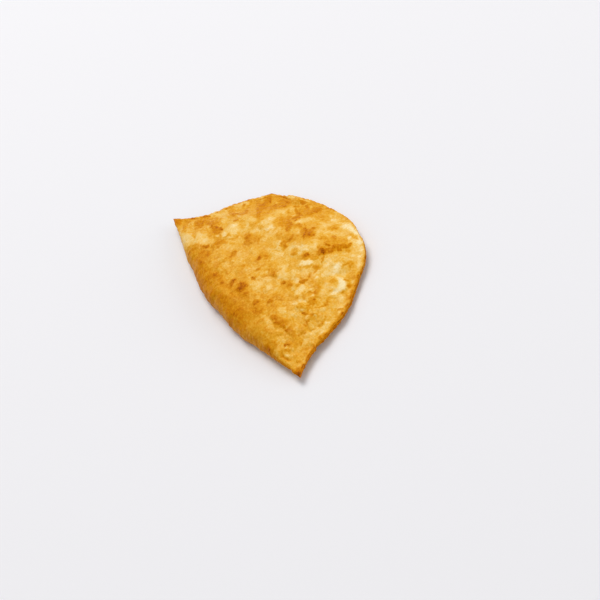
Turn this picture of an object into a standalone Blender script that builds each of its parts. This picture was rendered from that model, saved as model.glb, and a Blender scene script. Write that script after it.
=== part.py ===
"""A whole fried cheburek: a thin round of dough folded over its filling into a half-moon.

The curved edge is pressed shut into a thin rim, the fold is round and pushed out by the filling,
and the two corners are flat and drawn out to points. It lies on the flat of its underside.
The plan is worked out with the fold's chord on the X axis and the curved rim towards +Y, and the
piece is then centred, so that the origin is on the surface it lies on, under its middle.
"""

import math

import bpy
import numpy as np

# Driving dimensions, in metres
ROUND_RADIUS = 0.0905
FOLD_BULGE = 0.0150
HORN_LENGTH = 0.0144
HORN_REACH = 0.0092
RIM_THICKNESS = 0.0024
RIM_WIDTH = 0.0042
RIM_WIDTH_CHANGE = 0.0016
RIM_HEIGHT = 0.0048
SHOULDER = 0.0380
CROWN = 0.0092
BELLY = 0.0058
SETTLE = 0.0009
FOLD_ROUND = 0.0110
FOLD_CREASE = 0.0014
FOLD_ROUND_SHARE = 0.45
TIP_ROUND = 0.0035

# Slow unevenness of a rim that was cut and pressed by hand, in metres
RIM_WOBBLE = 0.0012
RIM_WAVE = 0.0011
FOLD_WOBBLE = 0.0005

# Lumps and bays of the rim: place along it and half length in degrees, how far it stands out and
# how far in from the rim that reaches, in millimetres
RIM_LUMPS = (
    (-80, 8.0, -2.8, 30),
    (-72, 5.0, -2.2, 30),
    (-47, 3.4, 1.4, 8),
    (-36, 2.6, 0.6, 8),
    (-36, 8.0, -1.1, 20),
    (-26, 6.0, -1.0, 20),
    (-13, 5.0, -0.8, 20),
    (11, 4.5, -1.1, 20),
    (37, 5.0, -1.5, 20),
    (46, 6.0, -1.9, 20),
    (57, 5.0, -0.8, 20),
    (67, 5.0, -2.1, 20),
    (77, 4.5, -2.5, 20),
    (78.6, 1.3, 1.3, 6),
)

# Broad swells and dents of the upper sheet, in millimetres:
# middle (x, y), half lengths along and across, turn in degrees, height
SWELLS = (
    (18, 66, 36, 26, 10, 1.7),
    (-33, 64, 19, 6, -46, -2.3),
    (-60, 36, 27, 15, 38, 1.3),
    (4, 38, 22, 12, 20, -1.0),
    (62, 40, 22, 17, -48, 1.0),
    (-22, 9, 32, 15, 4, 1.3),
    (36, 8, 24, 13, -6, 1.1),
    (82, 4, 13, 4, -12, -0.9),
    (-50, 12, 10, 22, 30, -1.0),
)

# Blisters of the fried dough
BLISTER_SEED = 11
BLISTER_TRIES = 900
BLISTER_RADII = (0.0045, 0.0105)
BLISTER_MARGIN = 0.0015
BLISTER_HEIGHT_SHARE = 0.14

# Mesh: stations from tip to tip, and rows across the two sheets, those round the fold counted apart
STATIONS = 86
TOP_ROWS = 25
UNDER_ROWS = 12
ROLL_ROWS = 4
TIP_GAP = 0.010
TIP_CROWDING = 1.30

CRUST_COLOUR = (0.80, 0.48, 0.14, 1.0)
CRUST_ROUGHNESS = 0.5

MM = 0.001


def plan_point(alpha, across):
    """Point of the half-moon's plan for alpha from tip to tip and across from rim (0) to fold (1).

    Both the rim and the fold are arcs through the two tips. Every line of one `across` is such an
    arc, and every line of one alpha is a circle that meets them at right angles.
    """
    on_middle = ROUND_RADIUS - (ROUND_RADIUS + FOLD_BULGE) * across
    sigma = 2.0 * np.arctan2(ROUND_RADIUS, on_middle)
    share = 1.0 - np.cos(sigma) * np.cos(alpha)
    x = ROUND_RADIUS * np.sin(alpha) / share
    y = ROUND_RADIUS * np.sin(sigma) * np.cos(alpha) / share
    return x, y


def rim_distance(x, y):
    """Distance inwards from the curved rim."""
    return np.maximum(ROUND_RADIUS - np.hypot(x, y), 0.0)


def fold_distance(x, y):
    """Distance inwards from the fold, an arc with its middle on the +Y side."""
    fold_radius = (ROUND_RADIUS**2 + FOLD_BULGE**2) / (2.0 * FOLD_BULGE)
    return np.maximum(fold_radius - np.hypot(x, y - (fold_radius - FOLD_BULGE)), 0.0)


def rim_width(x, y):
    """Width of the pressed rim, wider on one side of the piece than on the other."""
    return RIM_WIDTH - RIM_WIDTH_CHANGE * np.sin(1.2 * np.arctan2(x, y))


def tip_distance(x, y):
    """Distance to the nearer of the two tips."""
    return np.hypot(ROUND_RADIUS - np.abs(x), y)


def rounded(distance, radius):
    """Quarter-circle rise from 0 at distance 0 to 1 at distance radius."""
    left = 1.0 - np.clip(distance / radius, 0.0, 1.0)
    return np.sqrt(np.maximum(1.0 - left**2, 0.0))


def rim_shift(x, y, alpha, across):
    """How far the rim stands out from its circle: a slow wobble, lumps and bays."""
    inwards = rim_distance(x, y)
    wobble = RIM_WOBBLE * np.sin(6.0 * alpha - 0.3) * np.exp(-inwards / SHOULDER)
    shift = wobble * np.sqrt(np.cos(alpha))
    for degrees, half_length, height, reach in RIM_LUMPS:
        off = (np.degrees(alpha) - degrees) / half_length
        fade = np.exp(-inwards / (reach * MM)) * (1.0 - across)
        shift = shift + height * MM * np.exp(-(off**2)) * fade
    return shift


def draw_out(x, y, alpha, across):
    """The plan as it really lies: corners drawn out to points, rim and fold a little uneven."""
    reach = np.exp(-tip_distance(x, y) / HORN_REACH)
    at_rim = rim_shift(x, y, alpha, across)
    at_fold = FOLD_WOBBLE * np.sin(6.0 * alpha + 0.4) * np.cos(alpha)
    drawn_x = x + np.sign(x) * HORN_LENGTH * reach + at_rim * np.sin(alpha)
    drawn_y = y + at_rim * np.cos(alpha) + at_fold * np.exp(-fold_distance(x, y) / SHOULDER)
    return drawn_x, drawn_y


def middle_height(alpha):
    """Height of the level where the two sheets meet, with the rim's slow wave."""
    wave = 0.6 * np.sin(4.0 * alpha + 0.9) + 0.4 * np.sin(7.0 * alpha - 0.5)
    return RIM_HEIGHT + RIM_WAVE * wave


def puff(x, y, height):
    """Rise of a sheet inside the pressed rim: it lifts off softly, gets steeper and levels off at
    `height`."""
    inside = np.clip((rim_distance(x, y) - 0.5 * rim_width(x, y)) / SHOULDER, 0.0, 1.0)
    return height * (1.0 - (1.0 - inside**1.5) ** 2)


def settled(z):
    """Height of the under sheet once it lies on a table: flat at 0, with a soft turn up from it."""
    turning = (np.clip(z, -SETTLE, SETTLE) + SETTLE) ** 2 / (4.0 * SETTLE)
    return np.where(z > SETTLE, z, turning)


def swells(x, y):
    """Sum of the broad swells and dents, each a smooth bump over a turned ellipse."""
    total = np.zeros_like(x)
    for mid_x, mid_y, along, wide, turn, height in SWELLS:
        c = math.cos(math.radians(turn))
        s = math.sin(math.radians(turn))
        dx = x - mid_x * MM
        dy = y - mid_y * MM
        u = (dx * c + dy * s) / (along * MM)
        v = (dy * c - dx * s) / (wide * MM)
        total += height * MM * np.exp(-1.5 * (u**2 + v**2))
    return total


def scatter_blisters():
    """Places blisters one by one at seeded random spots where none is yet."""
    draw = np.random.RandomState(BLISTER_SEED)
    kept = []
    for _ in range(BLISTER_TRIES):
        x = draw.uniform(-ROUND_RADIUS, ROUND_RADIUS)
        y = draw.uniform(-FOLD_BULGE, ROUND_RADIUS)
        radius = draw.uniform(*BLISTER_RADII)
        inside = min(rim_distance(x, y) - rim_width(x, y), fold_distance(x, y))
        if inside < radius + BLISTER_MARGIN:
            continue
        if all(math.hypot(x - a, y - b) > radius + r for a, b, r in kept):
            kept.append((x, y, radius))
    return kept


def blisters(x, y, places):
    """Height of the blisters: each one a low dome with a clear edge."""
    height = np.zeros_like(x)
    for mid_x, mid_y, radius in places:
        inside = 1.0 - ((x - mid_x) ** 2 + (y - mid_y) ** 2) / radius**2
        dome = BLISTER_HEIGHT_SHARE * radius * np.maximum(inside, 0.0) ** 0.8
        height = np.maximum(height, dome)
    return height


def fold_share(alpha):
    """Share of the way from fold to rim that the round of the fold takes up: it is wide where the
    sheets are puffed up and only a crease at the flat corners."""
    rim_x, rim_y = plan_point(alpha, 0.0)
    fold_x, fold_y = plan_point(alpha, 1.0)
    way = np.hypot(rim_x - fold_x, rim_y - fold_y)
    radius = FOLD_CREASE + (FOLD_ROUND - FOLD_CREASE) * puff(fold_x, fold_y, 1.0)
    return np.minimum(radius / way, FOLD_ROUND_SHARE)


def rows(share, body_rows):
    """Places across a sheet from rim (0) to just short of the fold (1), for each station.

    They are even up to the round of the fold, and follow its quarter circle in even turns.
    """
    even = (1.0 - share)[:, None] * (np.arange(body_rows) / body_rows)[None, :]
    turns = 0.5 * np.pi * (1.0 - np.arange(ROLL_ROWS) / ROLL_ROWS)
    rolled = 1.0 - share[:, None] * (1.0 - np.cos(turns))[None, :]
    return np.concatenate((even, rolled), axis=1)


def sheet(alpha, across, share, upper, places):
    """Points of one sheet, upper or under, on a grid of stations and rows."""
    x, y = plan_point(alpha, across)
    roll = rounded(1.0 - across, share)
    edge = 0.5 * RIM_THICKNESS * rounded(tip_distance(x, y), TIP_ROUND)
    level = middle_height(alpha)
    if upper:
        relief = swells(x, y) * rounded(rim_distance(x, y), SHOULDER) ** 2
        z = level + (edge + puff(x, y, CROWN) + relief + blisters(x, y, places)) * roll
    else:
        z = settled(level - (edge + puff(x, y, BELLY)) * roll)
    drawn_x, drawn_y = draw_out(x, y, alpha, across)
    return np.stack((drawn_x, drawn_y, z), axis=-1)


def crust_points():
    """Rings of points round the piece, one ring for each station: over the top and back below."""
    even = np.linspace(-TIP_CROWDING, TIP_CROWDING, STATIONS)
    alpha = (0.5 * np.pi - TIP_GAP) * np.sin(even) / math.sin(TIP_CROWDING)
    share = fold_share(alpha)
    at_fold = np.ones((STATIONS, 1))
    over = np.concatenate((rows(share, TOP_ROWS), at_fold), axis=1)
    under = rows(share, UNDER_ROWS)[:, ::-1]
    alpha = alpha[:, None]
    share = share[:, None]
    places = scatter_blisters()
    above = sheet(alpha, over, share, True, places)
    below = sheet(alpha, under, share, False, places)
    return np.concatenate((above, below), axis=1)


def tip_point(side):
    """The very point of a corner, side being -1 or +1."""
    return np.array((side * (ROUND_RADIUS + HORN_LENGTH), 0.0, middle_height(side * 0.5 * np.pi)))


def crust_faces(stations, ring):
    """Quads between neighbouring rings, and a fan of triangles to the point of each corner."""
    first_tip = stations * ring
    last_tip = first_tip + 1
    faces = []
    for i in range(stations - 1):
        for j in range(ring):
            k = (j + 1) % ring
            a, b = i * ring + j, i * ring + k
            faces.append((a, b, b + ring, a + ring))
    last = (stations - 1) * ring
    for j in range(ring):
        k = (j + 1) % ring
        faces.append((first_tip, k, j))
        faces.append((last_tip, last + j, last + k))
    return faces


def make_crust():
    """The whole cheburek as one closed solid."""
    grid = crust_points()
    stations, ring = grid.shape[:2]
    points = np.vstack((grid.reshape(-1, 3), tip_point(-1.0), tip_point(1.0)))
    low = points.min(axis=0)
    high = points.max(axis=0)
    points -= (0.5 * (low[0] + high[0]), 0.5 * (low[1] + high[1]), low[2])
    mesh = bpy.data.meshes.new("cheburek")
    mesh.from_pydata(points.tolist(), [], crust_faces(stations, ring))
    mesh.validate()
    mesh.shade_smooth()
    mesh.set_sharp_from_angle(angle=math.radians(50))
    piece = bpy.data.objects.new("cheburek", mesh)
    bpy.context.scene.collection.objects.link(piece)
    return piece


def crust_material():
    """Golden fried dough."""
    material = bpy.data.materials.new("crust")
    material.use_nodes = True
    shader = material.node_tree.nodes["Principled BSDF"]
    shader.inputs["Base Color"].default_value = CRUST_COLOUR
    shader.inputs["Roughness"].default_value = CRUST_ROUGHNESS
    shader.inputs["Metallic"].default_value = 0.0
    return material


for old in list(bpy.data.objects):
    bpy.data.objects.remove(old, do_unlink=True)
cheburek = make_crust()
cheburek.data.materials.append(crust_material())
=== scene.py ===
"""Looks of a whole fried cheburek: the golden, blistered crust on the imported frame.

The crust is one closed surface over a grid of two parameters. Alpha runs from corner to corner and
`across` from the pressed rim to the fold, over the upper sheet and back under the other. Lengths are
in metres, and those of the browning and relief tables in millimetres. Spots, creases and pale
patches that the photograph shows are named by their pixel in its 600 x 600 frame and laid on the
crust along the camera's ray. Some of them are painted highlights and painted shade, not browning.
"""

import math

import bpy
import numpy as np
from mathutils import Matrix, Vector


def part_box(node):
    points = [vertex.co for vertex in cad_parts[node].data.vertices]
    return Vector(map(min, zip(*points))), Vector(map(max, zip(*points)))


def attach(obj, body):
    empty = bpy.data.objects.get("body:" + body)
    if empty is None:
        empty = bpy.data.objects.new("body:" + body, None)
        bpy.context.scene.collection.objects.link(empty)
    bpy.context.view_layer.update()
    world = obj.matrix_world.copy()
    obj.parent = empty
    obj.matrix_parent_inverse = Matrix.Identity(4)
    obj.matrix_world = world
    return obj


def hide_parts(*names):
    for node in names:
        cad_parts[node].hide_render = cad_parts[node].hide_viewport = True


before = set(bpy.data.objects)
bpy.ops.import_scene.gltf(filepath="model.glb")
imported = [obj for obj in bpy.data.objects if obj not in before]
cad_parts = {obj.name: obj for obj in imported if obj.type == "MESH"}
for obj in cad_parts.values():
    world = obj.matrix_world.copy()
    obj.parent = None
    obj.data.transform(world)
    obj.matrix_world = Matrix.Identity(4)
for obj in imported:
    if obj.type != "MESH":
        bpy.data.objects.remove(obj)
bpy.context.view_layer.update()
NODE_LOW, NODE_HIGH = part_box("cheburek")

MM = 0.001

# ---------------------------------------------------------------- driving sizes of the piece
HORN_LENGTH = 0.0144
HORN_REACH = 0.0092
ROUND_RADIUS = 0.5 * (NODE_HIGH.x - NODE_LOW.x) - HORN_LENGTH
FOLD_BULGE = 0.0150
RIM_THICKNESS = 0.0024
RIM_WIDTH = 0.0042
RIM_WIDTH_CHANGE = 0.0016
RIM_WIDTH_SWING = 1.2
RIM_HEIGHT = 0.0048
SHOULDER = 0.0380
LIFT_OFF = 1.5
CROWN = 0.0092
BELLY = 0.0058
SETTLE = 0.0009
FOLD_ROUND = 0.0110
FOLD_CREASE = 0.0014
FOLD_ROUND_SHARE = 0.45
TIP_ROUND = 0.0035

# Slow wobble of rim and fold in the plan, and the rim's wave up and down, whose two parts have a
# share, a number of waves and a phase each
RIM_WOBBLE = 0.0012
RIM_WOBBLE_PHASE = -0.3
FOLD_WOBBLE = 0.0005
FOLD_WOBBLE_PHASE = 0.4
WOBBLE_WAVES = 6.0
RIM_WAVE = 0.0011
RIM_WAVE_PARTS = (
    (0.6, 4.0, 0.9),
    (0.4, 7.0, -0.5),
)

# Lumps and bays of the rim: place along it and half length in degrees, how far it stands out and
# how far in from the rim that reaches, in mm
RIM_LUMPS = (
    (-80, 8, -2.8, 30),
    (-72, 5, -2.2, 30),
    (-47, 3.4, 1.4, 8),
    (-36, 2.6, 0.6, 8),
    (-36, 8, -1.1, 20),
    (-26, 6, -1, 20),
    (-13, 5, -0.8, 20),
    (11, 4.5, -1.1, 20),
    (37, 5, -1.5, 20),
    (46, 6, -1.9, 20),
    (57, 5, -0.8, 20),
    (67, 5, -2.1, 20),
    (77, 4.5, -2.5, 20),
    (78.6, 1.3, 1.3, 6),
)

# Teeth left on the cut rim by a fluted wheel: how deep they still are where they are worn, and over
# what length their depth changes
TOOTH_PITCH = 0.0034
TOOTH_DEPTH = 0.00030
TOOTH_WORN_SHARE = 0.35
TOOTH_CHANGE = 3.1 * TOOTH_PITCH

# Waver of the cut rim: height, length and seed
RIM_WAVERS = (
    (0.00022, 0.0017, 72),
    (0.0004, 0.008, 73),
)
WAVER_REACH = 0.0016

# The lower sheet's edge stands out past the upper's: by how much, least share and share by noise of
# this length, and how far in the sheet is drawn along
LEDGE = 0.0008
LEDGE_SHARES = (0.7, 0.5)
LEDGE_CHANGE = 0.011
LEDGE_REACH = 0.003

# Stretches of the rim, each by its middle and half length in degrees: where the ledge is, where the
# teeth are sharp, where the rim is well browned, where its edge is toasted and where it stays clear
LEDGE_STRETCH = (52, 26)
SHARP_STRETCH = (-42, 34)
BROWNED_STRETCH = (-48, 34)
TOASTED_STRETCH = (58, 24)
CLEAR_STRETCH = (14, 26)

# The rim's cut face from below upwards: height in half thicknesses, outwards in mm, share of the
# ledge, tone. Its lines waver up and down and in and out by these shares, and their tone changes.
CUT_FACE_WAVER = 0.006
CUT_FACE_RISE = 0.22
CUT_FACE_DEPTH = 0.9
CUT_FACE_MOTTLE = 0.14
CUT_FACE_MOTTLE_LENGTH = 0.004
CUT_FACE_ROWS = (
    (-0.78, 0.22, 1.0, 0.86),
    (-0.40, 0.34, 1.0, 0.70),
    (-0.06, -0.40, 0.6, 0.82),
    (0.34, 0.22, 0.0, 0.66),
    (0.74, 0.20, 0.0, 0.58),
)

# Broad swells and dents of the upper sheet, in millimetres on the plan:
# middle (x, y), half lengths along and across, turn in degrees, height. How fast they fall off.
SWELL_FALL = 1.5
SWELLS = (
    (18, 66, 36, 26, 10, 1.7),
    (-33, 64, 19, 6, -46, -2.3),
    (-60, 36, 27, 15, 38, 1.3),
    (4, 38, 22, 12, 20, -1.0),
    (62, 40, 22, 17, -48, 1.0),
    (-22, 9, 32, 15, 4, 1.3),
    (36, 8, 24, 13, -6, 1.1),
    (82, 4, 13, 4, -12, -0.9),
    (-50, 12, 10, 22, 30, -1.0),
)

# ---------------------------------------------------------------- grid of the crust
STATIONS = 440
TOP_ROWS = 126
UNDER_ROWS = 50
ROLL_ROWS = 15
TIP_GAP = 0.004
TIP_CROWDING = 1.20

# ---------------------------------------------------------------- camera, as in the photograph
PHOTO_SIDE = 600
LENS_MM = 119.1
SENSOR_MM = 36.0
VIEW_ELEVATION = 39.46
VIEW_HEADING = 171.87
VIEW_ROLL = 27.67
VIEW_DISTANCE = 1.2623
VIEW_AIM = (0.0420, 0.0311, RIM_HEIGHT)

# Rounds and step shares of the two searches that find a plan point, from its drawn place and by a ray
UNDRAW_ROUNDS = 12
UNDRAW_STEP = 0.6
RAY_ROUNDS = 30
RAY_STEP = 0.5

# ---------------------------------------------------------------- browning, painted highlights and painted shade, by photograph pixel
# Tone runs from 0, pale cream, by 0.4, golden, and 0.6, orange brown, to 1, dark brown.
# An oval is given as the photograph shows it: pixel x, pixel y, half length and half width in
# pixels, turn in degrees (rising to the right), tone and, for a browned one, rise in mm.
# Brown spots, among them a few painted shadows and painted shade lines, marked where they stand.
BROWN_SPOTS_AND_SHADOWS = (
    # left corner
    (178.2, 221.6, 4.4, 2.8, -30, 0.76, 0),
    (185, 230.4, 2.6, 2, 0, 0.50, 0),
    (185.5, 224, 5.5, 2.6, 90, 0.54, 0.2),
    (185.5, 227, 2.4, 2.2, 0, 0.62, 0.3),
    (191, 226, 4, 1.5, 90, 0.48, 0),
    (200, 223.5, 5.4, 4.4, 0, 0.66, 0.4),
    (210, 222, 7.5, 2.2, -12, 0.63, 0.2),
    (207, 218.5, 7, 1.8, 3, 0.57, 0),
    (195, 218.3, 5, 0.9, 0, 0.74, 0),
    (206, 216.2, 5, 1, 5, 0.74, 0),
    (196.5, 228.3, 2.4, 1.5, 0, 0.58, 0.2),
    (216.6, 227.6, 6, 2.3, -14, 0.67, 0.3),
    (218.6, 230.2, 4.2, 3, 25, 0.65, 0.3),
    (221.4, 228.2, 3.4, 0.9, -42, 0.80, 0),
    (213, 225, 1.5, 0.9, 0, 0.78, 0),
    (217, 226.3, 2.6, 0.8, -30, 0.78, 0),
    (207.5, 229.5, 5, 1.1, -72, 0.50, -0.1),
    (209.5, 234, 3.4, 1.9, 90, 0.50, 0.2),
    (194, 235, 4, 1.2, -65, 0.49, -0.1),
    (190.5, 231.8, 3, 0.9, 0, 0.48, -0.1),
    (220, 239.8, 4.6, 1.6, 0, 0.54, 0.1),
    (195, 246, 5.5, 2, 0, 0.52, 0.2),
    (228, 208, 3.6, 0.9, 28, 0.64, 0),
    (218, 212, 2.4, 0.8, 20, 0.62, 0),
    (232.3, 211.8, 3.2, 3.4, 0, 0.56, 0.4),
    (236.6, 219.7, 2.4, 1.4, 0, 0.64, 0.3),
    (242.5, 220, 3, 1, 0, 0.52, 0),
    (236.5, 216.6, 2.8, 0.8, -20, 0.50, 0),
    (239, 203.2, 2, 0.9, 15, 0.56, 0),
    (244.5, 205.4, 1.4, 1.9, 0, 0.61, 0.2),
    (247, 211, 2, 2.8, 0, 0.62, 0.3),
    (243, 213, 4.6, 1.5, 8, 0.57, 0.1),
    (247.5, 233, 2.6, 1.2, 20, 0.58, 0),
    # upper rim, from left to right
    (252, 208, 4, 6, 0, 0.47, 0.2),
    (268.5, 200.6, 6.2, 3.4, 35, 0.64, 0.4),
    (271, 200.6, 2.2, 1.3, 80, 0.75, 0),
    (262.5, 207, 6.6, 3.6, 25, 0.63, 0.3),
    (259.4, 213.5, 4, 2.4, 85, 0.65, 0.3),
    (271.3, 208.6, 4.6, 1.4, 50, 0.61, 0.1),
    (268, 212.6, 2.5, 1.1, 0, 0.58, 0),
    # painted shade: the next thin dark line along the top edge stands for shade there
    (265, 197.6, 8, 0.8, 14, 0.62, 0),
    (253, 224, 3.4, 2.8, 0, 0.47, 0.3),
    (262, 227, 3.2, 2, 0, 0.46, 0.2),
    (283, 200.4, 4, 2.2, 0, 0.63, 0.1),
    (284, 203.2, 2, 1.2, 0, 0.63, 0),
    (288.8, 199.5, 3.3, 1.9, 0, 0.56, 0.1),
    (297, 201, 4.6, 4.4, 0, 0.51, 0.8),
    (303.6, 202.2, 3.6, 2.2, -20, 0.68, 0.1),
    (307, 205.6, 2, 1.9, 0, 0.70, 0.2),
    (301.8, 209.5, 2.4, 3.4, 0, 0.46, 0.5),
    (297, 206.2, 3.8, 1.1, 5, 0.63, 0),
    (296.6, 210.5, 1.7, 3, 0, 0.63, 0),
    (300, 213.2, 3.2, 1.8, -25, 0.70, 0),
    (308.3, 209, 5, 1.3, 80, 0.63, 0),
    (310, 213.6, 4, 2.4, 0, 0.62, 0.3),
    (296, 217, 5.8, 2, 15, 0.68, -0.2),
    (289.8, 216.3, 4, 1.3, 0, 0.60, 0),
    (288.6, 223.6, 7.4, 3.3, 86, 0.62, -0.3),
    (291.2, 222.4, 1.7, 1.1, 0, 0.72, 0),
    (287.6, 228.4, 3, 1, -80, 0.70, 0),
    (278, 222, 4.4, 5.6, 0, 0.47, 0.3),
    (313.5, 203.6, 7, 1.9, -14, 0.52, 0.1),
    (316, 209.8, 4.2, 3, 20, 0.67, 0.3),
    (319.8, 208.6, 3.4, 2.8, -10, 0.67, 0.3),
    (317, 211.5, 3, 1.4, 0, 0.75, 0),
    (323, 216.6, 5.2, 1.4, 5, 0.55, 0.1),
    (329, 212.4, 4, 1.6, -12, 0.51, 0.1),
    (334.3, 228, 3.2, 1.8, 28, 0.60, 0.3),
    (333, 227, 5.6, 3, 10, 0.50, 0.2),
    # faint tints
    (320, 215, 9, 5.6, -10, 0.48, 0.2),
    (312, 225, 9, 6, 0, 0.46, 0),
    (295, 260, 6, 5, 0, 0.44, 0),
    (306, 212, 5.6, 5.2, 0, 0.56, 0.2),
    (195, 230, 4, 3, 0, 0.44, 0),
    (205, 231, 4, 3, 0, 0.44, 0),
    (355, 250, 4, 4, 0, 0.34, 0),
    (245, 210, 5, 4, 0, 0.48, 0),
    (315, 320, 4, 4, 0, 0.44, 0),
    (295, 231, 4, 3.4, 0, 0.40, 0),
    (305, 240, 4, 3, 0, 0.46, 0),
    (295, 250, 4, 3.4, 0, 0.46, 0),
    (284, 221, 5.4, 5.6, 0, 0.58, 0.1),
    (316, 209.6, 6, 4.4, 0, 0.58, 0),
    (355, 269, 3.6, 4, 0, 0.44, 0),
    (335, 311, 4, 4, 0, 0.44, 0),
    (265, 209, 9, 6, 30, 0.52, 0),
    (276, 199, 6, 4, 10, 0.50, 0),
    (256, 202, 6, 4, 15, 0.50, 0),
    (286, 239, 5, 5, 0, 0.52, 0),
    (305, 350, 8, 6, 50, 0.47, 0),
    (294, 341, 9, 6, 20, 0.50, 0),
    (304, 329, 7, 5, 0, 0.48, 0),
    # middle
    (309, 232.2, 6.4, 5.6, 0, 0.63, 0.6),
    (309, 233.6, 2.6, 2.6, 0, 0.75, 0),
    (313.4, 234.2, 2, 1.7, 0, 0.71, 0),
    (305, 233.6, 4.6, 1.3, 85, 0.77, 0),
    (305.6, 228.6, 1.9, 2.4, 0, 0.73, 0),
    (313.6, 227.8, 2.6, 1.3, 10, 0.69, 0),
    (305.4, 224.2, 1, 1.8, 0, 0.60, 0),
    (304.4, 230, 3.6, 4.6, 0, 0.58, 0),
    (325, 219, 5, 3.6, 0, 0.46, 0),
    (305, 243, 3.6, 1.4, 0, 0.44, 0),
    (290.6, 239, 3.6, 1.5, 40, 0.67, -0.2),
    (292.6, 235.8, 1.5, 3, 0, 0.63, 0),
    # painted shadow: the next spot is a shadow cast by a neighbouring piece
    (284, 243, 4, 2.4, 60, 0.62, -0.2),
    (294.3, 253, 3.5, 2, 10, 0.61, 0.3),
    (307.2, 254.4, 3.2, 2.8, 0, 0.79, 0.5),
    (306, 256.4, 5, 3.6, 0, 0.56, 0.2),
    (323.5, 250.8, 3.5, 3.2, 0, 0.84, 0.3),
    (323.5, 252, 1.6, 1.2, 0, 0.93, 0),
    (322, 251, 5.6, 4.4, 0, 0.70, 0.4),
    (320, 246.5, 3, 3, 0, 0.56, 0.2),
    (326.6, 243, 2.6, 3.4, 0, 0.61, 0.2),
    (328.4, 245, 2.4, 1, -10, 0.79, 0),
    (329, 248.6, 1.4, 2, 0, 0.73, 0),
    (332, 249.8, 5.2, 2, 38, 0.74, 0.1),
    (334.4, 238.2, 4.6, 2.4, -75, 0.63, 0.3),
    (336.4, 246.4, 5.2, 3.4, 0, 0.67, 0.5),
    (339.5, 249.4, 2.6, 1.3, 0, 0.77, 0),
    (343, 245.6, 3.8, 2.5, 0, 0.67, 0.3),
    (345.5, 247.2, 2, 1.4, 0, 0.73, 0),
    (349.4, 244.8, 4.8, 2, 35, 0.68, 0.3),
    (348.2, 250, 3.2, 1.5, 0, 0.58, 0.1),
    (344, 241, 4, 3, 0, 0.53, 0.2),
    (337, 247, 9, 3.6, 14, 0.60, 0),
    (334, 243, 12, 8, 10, 0.50, 0.3),
    (315.4, 257, 4.8, 1.8, 18, 0.56, 0.1),
    (323.4, 258, 4.2, 1.5, 75, 0.61, 0),
    (316.6, 266.3, 3.9, 2.9, 10, 0.63, 0.3),
    (316.2, 269.6, 3.6, 1.3, 60, 0.60, 0),
    (345.2, 264.8, 3.6, 1.3, 25, 0.57, 0.1),
    (350.2, 263, 3.2, 1.7, -5, 0.58, 0.1),
    (350.2, 267, 3.4, 1, 90, 0.56, 0),
    (352, 275, 5, 3.6, 0, 0.49, 0.3),
    (346.6, 279.6, 2.6, 1.6, 0, 0.59, 0.2),
    (350, 285.5, 3.2, 2.2, 0, 0.62, 0.2),
    (303, 280.6, 3.4, 2, 10, 0.66, 0.3),
    (303.6, 282, 1.8, 1.8, 0, 0.70, 0),
    (307, 279.4, 1.7, 1.1, 30, 0.64, 0),
    (312.6, 291.6, 1.2, 1.6, 0, 0.62, 0),
    (309.6, 292, 1.6, 2.6, -30, 0.58, 0),
    (319, 286.4, 2.1, 2.6, 0, 0.56, 0.2),
    (318.3, 290.6, 1.9, 3, 0, 0.52, 0),
    (305, 296.4, 3, 1.6, 55, 0.53, 0.1),
    (296, 297.5, 4, 2.2, 10, 0.50, 0.3),
    (292, 294, 3, 2.8, 0, 0.48, 0.2),
    (333.4, 281, 4.4, 3.4, 0, 0.52, 0.2),
    (314.8, 298.5, 1.8, 1.1, 0, 0.74, 0),
    (314, 302.6, 4, 1.1, 78, 0.60, 0),
    (310, 304, 4, 0.9, 20, 0.57, 0),
    (307.4, 308, 1.2, 3, 0, 0.54, 0),
    (301, 305.4, 4.2, 3, 0, 0.48, 0.4),
    (300.4, 307, 2, 1.2, 0, 0.56, 0),
    (303.4, 312.8, 2.8, 1.2, -15, 0.76, 0),
    (307, 313.4, 2, 0.8, 0, 0.62, 0),
    (312.4, 315, 1.6, 1.8, 0, 0.62, 0),
    (307.8, 319.2, 2.6, 1.4, 0, 0.60, 0),
    # partly browning and partly painted shadow: the soft edge of a neighbouring piece's cast shadow
    (302, 318, 5, 6, 0, 0.44, 0),
    (341, 309, 3.6, 1.2, 10, 0.55, 0.1),
    (337, 316, 2.2, 2, 0, 0.48, 0.1),
    (326, 316.2, 2.6, 1.2, 0, 0.50, 0.1),
    (310.8, 317.6, 3.2, 2.6, 0, 0.47, 0.2),
    (305.6, 324.6, 2.6, 1.2, -35, 0.66, 0.1),
    (308, 321, 2.2, 1, 0, 0.68, 0),
    # lower corner
    (303.4, 331.4, 3.2, 2.4, 0, 0.52, 0.2),
    (300.4, 333.6, 2.2, 1.4, 0, 0.60, 0.1),
    (285.6, 345.2, 1.3, 2.2, 0, 0.82, 0),
    (288.6, 344.4, 2.4, 0.9, 0, 0.80, 0),
    (307, 348, 2.8, 1.5, 20, 0.58, 0),
    (302.6, 349, 1.6, 1.2, 0, 0.56, 0),
    (291, 342.4, 5.2, 1.5, 5, 0.61, 0),
    (287.6, 350, 4, 1.3, -12, 0.61, 0),
    (295, 344.5, 1.3, 3, 0, 0.55, 0),
    (301, 342.6, 2.8, 1.4, -80, 0.61, 0.2),
    (299, 360.6, 2.8, 1.7, 0, 0.60, 0.2),
    (296, 355.6, 2.6, 1, 0, 0.53, 0.1),
    (305.5, 352.6, 3, 1.8, 50, 0.53, 0.1),
    (299.4, 374, 3, 4, 0, 0.88, 0),
    (299.6, 370.4, 3.6, 4, 0, 0.68, 0),
    # Next two: painted shadow, patches beside the fold near the lower corner darkened to a shadowed
    # tone
    (270, 343, 9, 6, -38, 0.54, 0),
    (262, 337, 8, 6, -38, 0.55, 0),
)

# Pale patches of crust, and painted highlights: the palest ovals stand for glints and sheen, marked
# where they stand.
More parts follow.
